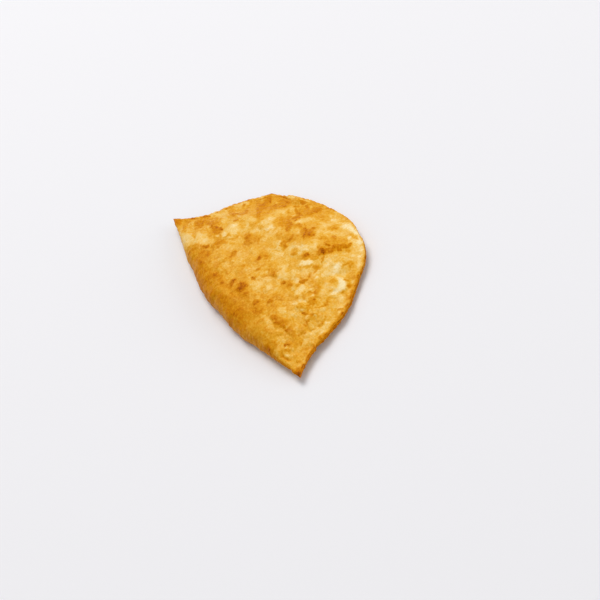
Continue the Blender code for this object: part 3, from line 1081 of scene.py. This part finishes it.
def push_out_rim(crust, cut_rows):
    """Teeth along the rim, the ledge of the lower sheet and the profile of the cut face: a sine along
    the arc, noises and bells by place, added up and pushed outwards from the middle of the round."""
    degrees = np.degrees(crust.alpha)
    along = crust.alpha * ROUND_RADIUS
    uneven = 0.5 + 0.5 * line_noise(along, TOOTH_CHANGE, 71)
    sharp = TOOTH_WORN_SHARE + (1.0 - TOOTH_WORN_SHARE) * bell(degrees, *SHARP_STRETCH)
    teeth = TOOTH_DEPTH * np.sin(2.0 * np.pi * along / TOOTH_PITCH) * uneven * sharp
    ragged = sum(height * line_noise(along, length, seed) for height, length, seed in RIM_WAVERS)
    outwards = (teeth + ragged) * np.exp(-crust.rim / WAVER_REACH)
    ledge_share = LEDGE_SHARES[0] + LEDGE_SHARES[1] * line_noise(along, LEDGE_CHANGE, 74)
    ledge = LEDGE * bell(degrees, *LEDGE_STRETCH) * ledge_share
    lower = np.where(crust.side < 0.0, np.exp(-crust.rim / LEDGE_REACH), 0.0)
    half = 0.5 * RIM_THICKNESS
    for k, (height, proud, of_ledge, _) in enumerate(CUT_FACE_ROWS):
        row = crust.points.shape[1] - cut_rows + k
        face = half * rounded(tip_distance(crust.x, crust.y), TIP_ROUND)[:, row]
        waver = line_noise(along[:, row], CUT_FACE_WAVER, 75)
        rise = (height + CUT_FACE_RISE * waver) * face
        crust.points[:, row, 2] = middle_height(crust.alpha[:, row]) + rise
        outwards[:, row] += proud * (1.0 + CUT_FACE_DEPTH * waver) * MM * face / half
        lower[:, row] = of_ledge
    outwards = (outwards + ledge * lower) * np.sqrt(np.maximum(np.cos(crust.alpha), 0.0))
    crust.points[..., 0] += outwards * np.sin(crust.alpha)
    crust.points[..., 1] += outwards * np.cos(crust.alpha)


# ---------------------------------------------------------------- relief and browning
def towards(tone, target, mask):
    """Tone drawn towards a target where the mask is high."""
    return tone + (target - tone) * mask


def browned(tone, target, mask):
    """Tone drawn towards a browner target, and left alone where it is browner already."""
    return tone + np.maximum(target - tone, 0.0) * mask


def paled(tone, target, mask):
    """Tone drawn towards a paler target, and left alone where it is paler already."""
    return tone - np.maximum(tone - target, 0.0) * mask


def ovals_on_crust(ovals):
    """Middle of each oval on the crust, and the matrix that takes offsets from it to shares of the
    oval's two half axes, from rays through its middle and the ends of both axes. The slanting view
    draws marks out along the line of sight, so they are drawn in along it and spread across it."""
    table = np.array([oval[:5] for oval in ovals], float)
    turn = np.radians(table[:, 4])
    length = table[:, 2:3] * np.stack((np.cos(turn), -np.sin(turn)), axis=1)
    width = table[:, 3:4] * np.stack((np.sin(turn), np.cos(turn)), axis=1)
    spots = table[:, :2]
    middles = seen_on_crust(spots)
    ends = [seen_on_crust(spots + axis) - seen_on_crust(spots - axis) for axis in (length, width)]
    sight = np.array(EYE_FORWARD)[:2] / math.hypot(EYE_FORWARD.x, EYE_FORWARD.y)
    rounder = MARK_SPREAD * np.eye(2) + (1.0 / MARK_SPREAD - MARK_SPREAD) * np.outer(sight, sight)
    return middles, np.linalg.inv(rounder @ (0.5 * np.stack(ends, axis=2)))


def blister_dome(distance):
    """Height of a blister: one less the square of the distance from its middle, to a power below 1
    that makes it full at the top and steep at its foot, where the distance is 1."""
    return np.maximum(1.0 - distance**2, 0.0) ** DOME_POWER


def ring_round(distance, strength, place, width):
    """Soft ring of a given strength round a blister, at `place` times the distance of its foot."""
    return strength * bell(distance, place, width)


def oval_distance(crust, middle, shares):
    """Distance from an oval's middle, 1 at its ragged edge, on the warped plan."""
    dx = crust.warp_x - middle[0]
    dy = crust.warp_y - middle[1]
    smooth = np.hypot(shares[0, 0] * dx + shares[0, 1] * dy, shares[1, 0] * dx + shares[1, 1] * dy)
    return np.maximum(smooth + crust.ragged, 0.0)


def curve_distance(crust, points):
    """Distance to a bent crease, the parabola from its first point through the middle one to the
    last, by its nearest sample, and how far along it that is."""
    start, halfway, end = points
    t = np.linspace(0.0, 1.0, CREASE_SAMPLES)[:, None]
    control = 2 * halfway - 0.5 * (start + end)
    line = (1 - t) ** 2 * start + 2 * t * (1 - t) * control + t**2 * end
    best = np.full(crust.x.shape, 1.0)
    along = np.zeros_like(best)
    for step, spot in zip(t[:, 0], line):
        distance = np.hypot(crust.warp_x - spot[0], crust.warp_y - spot[1])
        along = np.where(distance < best, step, along)
        best = np.minimum(best, distance)
    return best, along


def bubbled_skin(crust):
    """Uneven tone and height that every part of the skin has: broad noise, and cells of three
    sizes with bent borders, each a little dome that is browned, pale or between by its value."""
    x, y = crust.points[..., 0], crust.skin_y
    crust.tone = SKIN_TONE
    for change, *cloud in SKIN_CLOUDS:
        crust.tone = crust.tone + change * rough(x, y, *cloud)
    crust.lift = SKIN_WAVE_HEIGHT * rough(x, y, SKIN_WAVE_LENGTH, 3, 25)
    for step, (size, rise, change) in enumerate(SKIN_CELLS):
        bend = CELL_BEND * size * MM
        length = CELL_BEND_LENGTH * size * MM
        bent_x = x / SKIN_STRETCH + bend * rough(x, y, length, 2, 80 + step)
        bent_y = y + bend * rough(x, y, length, 2, 90 + step)
        gap, value = cells(bent_x, bent_y, size * MM, 100 + step)
        dome = soft_step(0.0, DOME_GAP, gap)
        fried = 1.5 * soft_step(*BROWNED_VALUES, value) - 1.0 + soft_step(*PALE_VALUES, value)
        crust.tone += change * (fried * dome + BORDER_TINT * soft_fade(0.0, BORDER_GAP, gap))
        share = PLAINEST_RISE + (1.0 - PLAINEST_RISE) * np.abs(2.0 * value - 1.0)
        crust.lift += rise * MM * dome * share


def photographed(crust):
    """The part of the upper side that the photograph shows: all but an oval in the middle of the
    fold side."""
    from_x = (crust.points[..., 0] - UNSEEN_MIDDLE[0]) / UNSEEN_HALF[0]
    from_y = (crust.points[..., 1] - UNSEEN_MIDDLE[1]) / UNSEEN_HALF[1]
    return (crust.side > 0.0) & (np.hypot(from_x, from_y) > 1.0)


def scatter_blisters(crust):
    """Seeded blisters over the whole skin, clear of each other and of the rim, and fewer at the
    corners. Each is a low dome with a clear, uneven edge; some are browned on top, some only at the
    foot. Large ones keep off what the photograph shows."""
    draw = np.random.RandomState(SCATTER_SEED)
    x = crust.points[..., 0]
    y = crust.skin_y
    warp_x, warp_y = bent_places(x, y, BLISTER_BEND, BLISTER_BEND_LENGTH, 41)
    shown = photographed(crust)
    kept = []
    for count, smallest, largest, rise_share in SCATTER:
        for _ in range(count):
            i = draw.randint(0, x.shape[0])
            j = draw.randint(0, x.shape[1] - len(CUT_FACE_ROWS))
            radius = draw.uniform(smallest, largest) * MM
            stretch = draw.uniform(*SCATTER_STRETCH)
            turn = draw.uniform(0.0, 180.0)
            frying = draw.uniform(0.0, 1.0)
            inside = crust.rim[i, j] - OFF_RIM_SHARE * rim_width(crust.x[i, j], crust.y[i, j])
            if inside < radius or (shown[i, j] and radius > LARGE_BLISTER):
                continue
            if draw.uniform() > np.cos(crust.alpha[i, j]):
                continue
            here_x, here_y = x[i, j], y[i, j]
            gaps = (math.hypot(here_x - a, here_y - b) - SCATTER_GAP * (radius + r) for a, b, r in kept)
            if any(gap < 0.0 for gap in gaps):
                continue
            kept.append((here_x, here_y, radius))
            u, v = turned(warp_x - here_x, warp_y - here_y, turn)
            distance = np.hypot(u / (radius * stretch), v / (radius / stretch))
            near = distance < SCATTER_REACH
            d = distance[near]
            dome = blister_dome(d) - ring_round(d, *BLISTER_MOAT)
            crust.lift[near] += rise_share * radius * dome * (SHOWN_RISE_SHARE if shown[i, j] else 1.0)
            tone = crust.tone[near]
            top = soft_fade(*BLISTER_TOP, d)
            if frying > BROWNED_ABOVE:
                tone = tone + (BROWNED_CHANGE + BROWNED_BY_FRYING * (frying - BROWNED_ABOVE)) * top
            elif frying < PALE_BELOW:
                tone = paled(tone, PALE_TONE, PALE_SHARE * top)
            crust.tone[near] = tone + ring_round(d, *BLISTER_FOOT)


def show_photographed_marks(crust):
    """Spots, pale patches, bubbles and creases where the photograph has them, with painted highlights
    among the pale patches and painted shadow and shade among the spots and creases.
    """
    upper = crust.side > 0.0
    places = seen_on_crust([pixel for pixel, *_ in BUBBLES])
    for (_, radius, rise, tone), place in zip(BUBBLES, places):
        distance = np.hypot(crust.warp_x - place[0], crust.warp_y - place[1]) / (radius * MM)
        dome = blister_dome(distance) - ring_round(distance, *BUBBLE_MOAT)
        crust.lift += rise * MM * dome * upper
        crust.tone = browned(crust.tone, tone, ring_round(distance, *BUBBLE_FOOT) * upper)
    # Pale patches, some of them painted highlights: the crust is drawn towards paler tones.
    for (*_, tone), middle, shares in zip(PALE_PATCHES_AND_HIGHLIGHTS, *ovals_on_crust(PALE_PATCHES_AND_HIGHLIGHTS)):
        distance = oval_distance(crust, middle, shares)
        crust.tone = paled(crust.tone, tone, PALE_STRENGTH * soft_fade(*PALE_FADE, distance) * upper)
    # Brown spots, a few of them painted shadows and shade lines: the crust is drawn towards browner
    # tones.
    for (*_, tone, rise), middle, shares in zip(BROWN_SPOTS_AND_SHADOWS, *ovals_on_crust(BROWN_SPOTS_AND_SHADOWS)):
        distance = oval_distance(crust, middle, shares)
        crust.lift += rise * MM * blister_dome(distance) * upper
        crust.tone = browned(crust.tone, tone, soft_fade(*BROWN_FADE, distance) * upper)
    # Creases are sunk and darkened; their darker tone is partly browning and partly painted shade in
    # the groove.
    for start, middle, end, half_width, depth, tone in CREASES:
        distance, along = curve_distance(crust, seen_on_crust((start, middle, end)))
        fade = np.sqrt(np.clip(4.0 * along * (1.0 - along), 0.0, 1.0))
        share = CREASE_END_SHARE + (1.0 - CREASE_END_SHARE) * fade
        mask = bell(distance, 0.0, half_width * MM) * share * upper
        crust.lift -= depth * MM * mask
        crust.tone = browned(crust.tone, tone, CREASE_STRENGTH * mask)


def edge_band(edge, off_tips, distance):
    """1 at an edge of the piece and 0 farther in; the band is wider away from the tips."""
    start, end, more = edge
    return soft_fade(start, end + more * off_tips, distance)


def brown_edges(crust):
    """The pressed rim is mottled and browner than the sheets, most of all at its cut edge, at the
    corners and along the fold, whose flank lay in the oil. The flank's deeper tone is also painted
    shade for that side of the fold, which faces away from the lights."""
    x, y = crust.points[..., 0], crust.points[..., 1]
    from_tip = tip_distance(crust.x, crust.y)
    off_tips = soft_step(*OFF_TIPS, from_tip)
    uneven = rough(x, y, EDGE_MOTTLE_LENGTH, 3, 51)
    patchy = TOASTED_SHARES[0] + TOASTED_SHARES[1] * uneven
    brown_rim(crust, from_tip, off_tips, uneven, patchy)
    point_tone = np.where(x > 0.0, POINT_TONES[1], POINT_TONES[0])
    crust.tone = browned(crust.tone, point_tone, POINT_STRENGTH * bell(from_tip, 0.0, POINT_REACH))
    fold = fold_distance(crust.x, crust.y)
    to_low_tip = FOLD_EDGE_LEAST + (1.0 - FOLD_EDGE_LEAST) * soft_step(*LOW_TIP_FROM, x)
    fold_edge = to_low_tip * edge_band(FOLD_EDGE, off_tips, fold) * patchy
    crust.tone = browned(crust.tone, FOLD_EDGE_TONE, np.clip(fold_edge, 0.0, 1.0))
    # The fold's flank is darkened partly as real frying and partly as painted shade on its shaded side.
    flank = soft_step(*FLANK_OFF_TIP, from_tip) * soft_fade(*FLANK_WIDTH, fold)
    crust.tone = browned(crust.tone, FLANK_TONE + FLANK_MOTTLE * uneven, FLANK_STRENGTH * flank)
    crust.tone += FLANK_CHANGE * flank


def brown_rim(crust, from_tip, off_tips, uneven, patchy):
    """Mottle, toasted edge, cut line and pressed ridges of the rim."""
    degrees = np.degrees(crust.alpha)
    inner = crust.rim / rim_width(crust.x, crust.y)
    well_browned = bell(degrees, *BROWNED_STRETCH)
    toasted = bell(degrees, *TOASTED_STRETCH)
    clear = bell(degrees, *CLEAR_STRETCH)
    change = RIM_BROWNED * well_browned - RIM_CLEARED * clear + RIM_MOTTLE * uneven
    crust.tone += change * soft_fade(*RIM_FADE, inner)
    crust.tone = towards(crust.tone, TIP_TONE, TIP_STRENGTH * bell(from_tip, 0.0, TIP_REACH))
    edge = toasted * edge_band(TOASTED_EDGE, off_tips, crust.rim) * patchy
    crust.tone = browned(crust.tone, TOASTED_TONE, np.clip(edge, 0.0, 1.0))
    crust.tone += TOASTED_TINT * toasted * soft_fade(*TOASTED_TINT_EDGE, crust.rim)
    line = CUT_LINE_SHARE + CUT_LINE_MOTTLE * uneven - CUT_LINE_TOASTED * toasted
    line = bell(crust.rim, 0.0, CUT_LINE_WIDTH) * line * (1.0 - CUT_LINE_CLEARED * clear)
    crust.tone = browned(crust.tone, CUT_LINE_TONE, np.clip(line, 0.0, CUT_LINE_MOST))
    ridges = np.sin(2.0 * np.pi * crust.alpha * ROUND_RADIUS / TOOTH_PITCH + RIDGE_PHASE)
    ridges = ridges * soft_fade(*RIDGE_FADE, inner) * (RIDGE_LEAST + well_browned)
    crust.lift += RIDGE_HEIGHT * ridges * (crust.side != 0.0)


def brown_cut_face(crust):
    """Each line of the cut face is drawn to its own mottled tone."""
    along = crust.alpha[:, 0] * ROUND_RADIUS
    for k, (*_, tone) in enumerate(CUT_FACE_ROWS):
        column = k - len(CUT_FACE_ROWS)
        target = tone + CUT_FACE_MOTTLE * line_noise(along, CUT_FACE_MOTTLE_LENGTH, 76 + k)
        crust.tone[:, column] = towards(crust.tone[:, column], target, CUT_FACE_STRENGTH)


def brown_underside(crust):
    """The under sheet lay in the oil longer: a deeper gold with paler blister tops."""
    under = (crust.side < 0.0) * soft_step(0.0, UNDERSIDE_START, fold_distance(crust.x, crust.y))
    deeper = UNDERSIDE_TONE + UNDERSIDE_CONTRAST * (crust.tone - UNDERSIDE_PLAIN)
    crust.tone = towards(crust.tone, deeper, UNDERSIDE_STRENGTH * under)


def shape_crust(crust):
    """Relief pushed out along the surface's own normal, then the underside set on the table."""
    along = np.gradient(crust.points, axis=0)
    ring = np.roll(crust.points, -1, axis=1) - np.roll(crust.points, 1, axis=1)
    normal = np.cross(ring, along)
    normal /= np.maximum(np.linalg.norm(normal, axis=2, keepdims=True), 1e-12)
    fade = soft_step(0.0, RELIEF_OFF_POINT, tip_distance(crust.x, crust.y)) * (crust.side != 0.0)
    crust.points += normal * (crust.lift * fade)[..., None]
    z = crust.points[..., 2]
    crust.points[..., 2] = np.where(crust.side < 0.0, settled(z), z)


def crust_faces(stations, ring):
    """Quads between neighbouring rings and a fan to the point of each corner, as index arrays."""
    i, j = np.meshgrid(np.arange(stations - 1), np.arange(ring), indexing="ij")
    here = i * ring + j
    beside = i * ring + (j + 1) % ring
    quads = np.stack((here, beside, beside + ring, here + ring), axis=-1).reshape(-1, 4)
    j = np.arange(ring)
    k = (j + 1) % ring
    last = (stations - 1) * ring
    first_fan = np.stack((np.full(ring, stations * ring), k, j), axis=-1)
    last_fan = np.stack((np.full(ring, stations * ring + 1), last + j, last + k), axis=-1)
    return quads, np.concatenate((first_fan, last_fan))


def put_in_scene(name, data):
    """New object with the given data, linked to the scene."""
    thing = bpy.data.objects.new(name, data)
    bpy.context.scene.collection.objects.link(thing)
    return thing


def mesh_from_arrays(name, points, quads, triangles):
    """Mesh whose corners, faces and loops are set from whole arrays."""
    mesh = bpy.data.meshes.new(name)
    corners = np.concatenate((quads.ravel(), triangles.ravel())).astype(np.int32)
    sizes = np.concatenate((np.full(len(quads), 4), np.full(len(triangles), 3)))
    starts = np.concatenate(((0,), np.cumsum(sizes)[:-1])).astype(np.int32)
    mesh.vertices.add(len(points))
    mesh.vertices.foreach_set("co", points.astype(np.float32).ravel())
    mesh.loops.add(len(corners))
    mesh.loops.foreach_set("vertex_index", corners)
    mesh.polygons.add(len(sizes))
    mesh.polygons.foreach_set("loop_start", starts)
    mesh.update(calc_edges=True)
    mesh.validate()
    mesh.shade_smooth()
    return mesh


def make_crust():
    """The cheburek's crust as one closed piece, with its tone as a vertex attribute."""
    crust = smooth_crust()
    x, y = crust.points[..., 0], crust.points[..., 1]
    crust.warp_x, crust.warp_y = bent_places(x, y, MARK_BEND, MARK_BEND_LENGTH, 61)
    crust.ragged = OVAL_RAGGEDNESS * rough(x, y, OVAL_RAG_LENGTH, 2, 69)
    bubbled_skin(crust)
    scatter_blisters(crust)
    brown_underside(crust)
    show_photographed_marks(crust)
    brown_edges(crust)
    brown_cut_face(crust)
    shape_crust(crust)
    ring = crust.x.shape[1]
    tip_x = ROUND_RADIUS + HORN_LENGTH
    tips = [(side * tip_x, 0.0, middle_height(side * 0.5 * np.pi)) for side in (-1, 1)]
    points = np.concatenate((crust.points.reshape(-1, 3), tips))
    points -= (CENTRE_X, CENTRE_Y, 0.0)
    mesh = mesh_from_arrays("cheburek_crust", points, *crust_faces(STATIONS, ring))
    tone = np.append(np.clip(crust.tone, 0.0, 1.0).ravel(), (END_TONE, END_TONE))
    attribute = mesh.attributes.new("tone", "FLOAT", "POINT")
    attribute.data.foreach_set("value", tone.astype(np.float32))
    return put_in_scene("cheburek_crust", mesh)


# ---------------------------------------------------------------- materials
def linear(red, green, blue):
    """Linear colour with full alpha from 0 to 255 screen values."""
    values = [channel / 255.0 for channel in (red, green, blue)]
    return (*[v / 12.92 if v <= 0.04045 else ((v + 0.055) / 1.055) ** 2.4 for v in values], 1.0)


# Tone and colour of the frying, from raw-looking cream to nearly burnt
FRYING_COLOURS = (
    (0.00, linear(243, 226, 178)),
    (0.15, linear(239, 208, 140)),
    (0.30, linear(233, 188, 92)),
    (0.45, linear(226, 166, 47)),
    (0.60, linear(212, 140, 14)),
    (0.75, linear(192, 112, 2)),
    (0.88, linear(158, 82, 2)),
    (1.00, linear(104, 46, 2)),
)
OIL_TINT = linear(255, 196, 96)
FLOOR_COLOUR = linear(233, 235, 242)

# Fried skin: sizes of the grain's mottle, of the pores and tiny bubbles and of the oil's patches, in
# metres; how much the mottle changes tone and roughness, and the height of the bump
GRAIN_SIZE = 0.0013
PORE_SIZE = 0.0012
OIL_PATCH_SIZE = 0.011
GRAIN_IN_TONE = 0.58
GRAIN_IN_ROUGHNESS = 0.5
TONE_IN_ROUGHNESS = 0.10
SKIN_ROUGHNESS = 0.40
BUMP_STRENGTH = 0.5
BUMP_DISTANCE = 0.00035
SKIN_SPECULAR = 0.05

# Film of oil: no film from this tone on and how fast it comes below, its share between the patches
# and by them, roughness and refraction
OIL_FREE_TONE = 0.70
OIL_GROWTH = 2.5
OIL_SHARE = 0.22
OIL_PATCH_SHARE = 1.4
OIL_ROUGHNESS = 0.28
OIL_IOR = 1.35

# The grain's layers of bubbles: coarseness against the pores, smoothness, share of the height; their
# tops stand this far above the walls between them. Fine noise is laid over them.
PORE_LAYERS = (
    (0.45, 0.4, 1.0),
    (1.0, 0.6, 0.5),
)
BUBBLE_TOP = 0.6
FINE_COARSENESS = 2.3
FINE_SHARE = 0.5


def plug(tree, socket, value):
    """An input set to a value, or linked to the output that is given."""
    if isinstance(value, bpy.types.NodeSocket):
        tree.links.new(value, socket)
    else:
        socket.default_value = value


def add_node(tree, kind, inputs=(), **settings):
    """New node of a tree with its properties set and its named inputs plugged."""
    node = tree.nodes.new(kind)
    for name, value in settings.items():
        setattr(node, name, value)
    for name, value in dict(inputs).items():
        plug(tree, node.inputs[name], value)
    return node


def arithmetic(tree, operation, first, second, clamp=False):
    """Math node on two values or sockets; returns its output."""
    node = add_node(tree, "ShaderNodeMath", operation=operation, use_clamp=clamp)
    plug(tree, node.inputs[0], first)
    plug(tree, node.inputs[1], second)
    return node.outputs[0]


def plus_share(tree, base, share, value, clamp=False):
    """A base value plus a share of another; returns the output."""
    return arithmetic(tree, "ADD", base, arithmetic(tree, "MULTIPLY", value, share), clamp)


def skin_grain_group():
    """Fine frying grain on object coordinates: a mottle of a couple of millimetres about 0, and
    the height of the pores and tiny bubbles between the larger blisters."""
    group = bpy.data.node_groups.new("fried skin grain", "ShaderNodeTree")
    sockets = {"Mottle Size": "INPUT", "Pore Size": "INPUT", "Mottle": "OUTPUT", "Height": "OUTPUT"}
    for name, way in sockets.items():
        group.interface.new_socket(name, in_out=way, socket_type="NodeSocketFloat")
    sizes = add_node(group, "NodeGroupInput").outputs
    place = add_node(group, "ShaderNodeTexCoord").outputs["Object"]
    mottle_scale = arithmetic(group, "DIVIDE", 1.0, sizes["Mottle Size"])
    pore_scale = arithmetic(group, "DIVIDE", 1.0, sizes["Pore Size"])
    mottle_inputs = {"Vector": place, "Scale": mottle_scale, "Detail": 3.0, "Roughness": 0.6}
    mottle = add_node(group, "ShaderNodeTexNoise", mottle_inputs)
    fine_scale = arithmetic(group, "MULTIPLY", pore_scale, FINE_COARSENESS)
    fine = add_node(group, "ShaderNodeTexNoise", {"Vector": place, "Scale": fine_scale, "Detail": 2.0})
    height = arithmetic(group, "MULTIPLY", fine.outputs["Fac"], FINE_SHARE)
    for coarseness, smoothness, share in PORE_LAYERS:
        scale = arithmetic(group, "MULTIPLY", pore_scale, coarseness)
        pore_inputs = {"Vector": place, "Scale": scale, "Smoothness": smoothness}
        pores = add_node(group, "ShaderNodeTexVoronoi", pore_inputs, feature="SMOOTH_F1")
        bubbles = arithmetic(group, "SUBTRACT", BUBBLE_TOP, pores.outputs["Distance"])
        height = plus_share(group, height, share, bubbles)
    centred = arithmetic(group, "SUBTRACT", mottle.outputs["Fac"], 0.5)
    add_node(group, "NodeGroupOutput", {"Mottle": centred, "Height": height})
    return group


def crust_material(grain_group):
    """Fried dough: colour by tone, an oily sheen that is duller where it is browner."""
    material = bpy.data.materials.new("fried crust")
    material.use_nodes = True
    tree = material.node_tree
    tone = add_node(tree, "ShaderNodeAttribute", attribute_name="tone").outputs["Fac"]

    def grain_of(size):
        sizes = {"Mottle Size": size, "Pore Size": PORE_SIZE}
        return add_node(tree, "ShaderNodeGroup", sizes, node_tree=grain_group).outputs

    grain = grain_of(GRAIN_SIZE)
    oil = grain_of(OIL_PATCH_SIZE)
    ramp = add_node(tree, "ShaderNodeValToRGB")
    stops = ramp.color_ramp.elements
    while len(stops) < len(FRYING_COLOURS):
        stops.new(0.5)
    for stop, (position, colour) in zip(stops, FRYING_COLOURS):
        stop.position = position
        stop.color = colour
    plug(tree, ramp.inputs["Fac"], plus_share(tree, tone, GRAIN_IN_TONE, grain["Mottle"]))
    dullness = plus_share(tree, SKIN_ROUGHNESS, GRAIN_IN_ROUGHNESS, grain["Mottle"])
    bump_inputs = {"Strength": BUMP_STRENGTH, "Distance": BUMP_DISTANCE, "Height": grain["Height"]}
    bump = add_node(tree, "ShaderNodeBump", bump_inputs)
    paler = arithmetic(tree, "SUBTRACT", OIL_FREE_TONE, tone)
    film = arithmetic(tree, "MULTIPLY", paler, OIL_GROWTH, clamp=True)
    patches = plus_share(tree, OIL_SHARE, OIL_PATCH_SHARE, oil["Mottle"], clamp=True)
    finish = {
        "Base Color": ramp.outputs["Color"],
        "Roughness": plus_share(tree, dullness, TONE_IN_ROUGHNESS, tone),
        "Normal": bump.outputs["Normal"],
        "Specular IOR Level": SKIN_SPECULAR,
        "Specular Tint": OIL_TINT,
        "Coat Weight": arithmetic(tree, "MULTIPLY", film, patches),
        "Coat Roughness": OIL_ROUGHNESS,
        "Coat IOR": OIL_IOR,
    }
    for name, value in finish.items():
        plug(tree, tree.nodes["Principled BSDF"].inputs[name], value)
    return material


def floor_material():
    """Plain pale floor, dull, so that no light shows in it."""
    material = bpy.data.materials.new("pale floor")
    material.use_nodes = True
    finish = {"Base Color": FLOOR_COLOUR, "Roughness": 0.8, "Specular IOR Level": 0.2}
    for name, value in finish.items():
        material.node_tree.nodes["Principled BSDF"].inputs[name].default_value = value
    return material


# ---------------------------------------------------------------- stage
FLOOR_HALF = 40.0
FLOOR_DROP = 0.0002

# Soft boxes by where they hang from the piece as the camera sees it: right, up and towards the
# camera, distance, side length, power and colour
SOFT_BOXES = (
    ("key light", (-0.42, 0.88, 0.16), 4.0, 2.6, 114.0, (1.0, 0.97, 0.93)),
    ("fill light", (0.80, 0.20, 0.55), 4.5, 3.5, 82.0, (1.0, 0.98, 0.95)),
)
ROOM_COLOUR = (1.0, 0.975, 0.94, 1.0)
ROOM_STRENGTH = 0.46
BACKDROP_COLOUR = linear(238, 238, 241)


def make_floor():
    """Square floor just under the piece."""
    h = FLOOR_HALF
    mesh = bpy.data.meshes.new("floor")
    corners = [(-h, -h, -FLOOR_DROP), (h, -h, -FLOOR_DROP), (h, h, -FLOOR_DROP), (-h, h, -FLOOR_DROP)]
    mesh.from_pydata(corners, [], [(0, 1, 2, 3)])
    mesh.materials.append(floor_material())
    return put_in_scene("floor", mesh)


def make_camera():
    """Camera with the photograph's view of the piece."""
    data = bpy.data.cameras.new("camera")
    data.lens = LENS_MM
    data.sensor_width = SENSOR_MM
    camera = put_in_scene("camera", data)
    axes = Matrix((EYE_RIGHT, EYE_UP, -EYE_FORWARD)).transposed()
    camera.matrix_world = Matrix.Translation(EYE) @ axes.to_4x4()
    bpy.context.scene.camera = camera


def make_lights():
    """Soft boxes about the piece, each facing it, and an even room light."""
    for name, (right, up, near), distance, side, power, colour in SOFT_BOXES:
        way = (EYE_RIGHT * right + EYE_UP * up - EYE_FORWARD * near).normalized()
        data = bpy.data.lights.new(name, "AREA")
        data.shape = "SQUARE"
        data.size = side
        data.energy = power
        data.color = colour
        facing = way.to_track_quat("Z", "Y").to_matrix().to_4x4()
        put_in_scene(name, data).matrix_world = Matrix.Translation(way * distance) @ facing
    bpy.context.scene.world = make_room()
    bpy.context.scene.view_settings.view_transform = "Standard"


def make_room():
    """Even room light; past the floor's edge the camera sees a pale backdrop in its place."""
    world = bpy.data.worlds.new("room")
    world.use_nodes = True
    tree = world.node_tree
    room = tree.nodes["Background"]
    room.inputs["Color"].default_value = ROOM_COLOUR
    room.inputs["Strength"].default_value = ROOM_STRENGTH
    backdrop = add_node(tree, "ShaderNodeBackground", {"Color": BACKDROP_COLOUR})
    seen = add_node(tree, "ShaderNodeLightPath").outputs["Is Camera Ray"]
    pick = add_node(tree, "ShaderNodeMixShader", {"Fac": seen})
    plug(tree, pick.inputs[1], room.outputs[0])
    plug(tree, pick.inputs[2], backdrop.outputs[0])
    plug(tree, tree.nodes["World Output"].inputs["Surface"], pick.outputs[0])
    return world


make_camera()
make_floor()
make_lights()
crust = make_crust()
crust.data.materials.append(crust_material(skin_grain_group()))
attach(crust, "root")
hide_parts("cheburek")

bpy.context.view_layer.update()
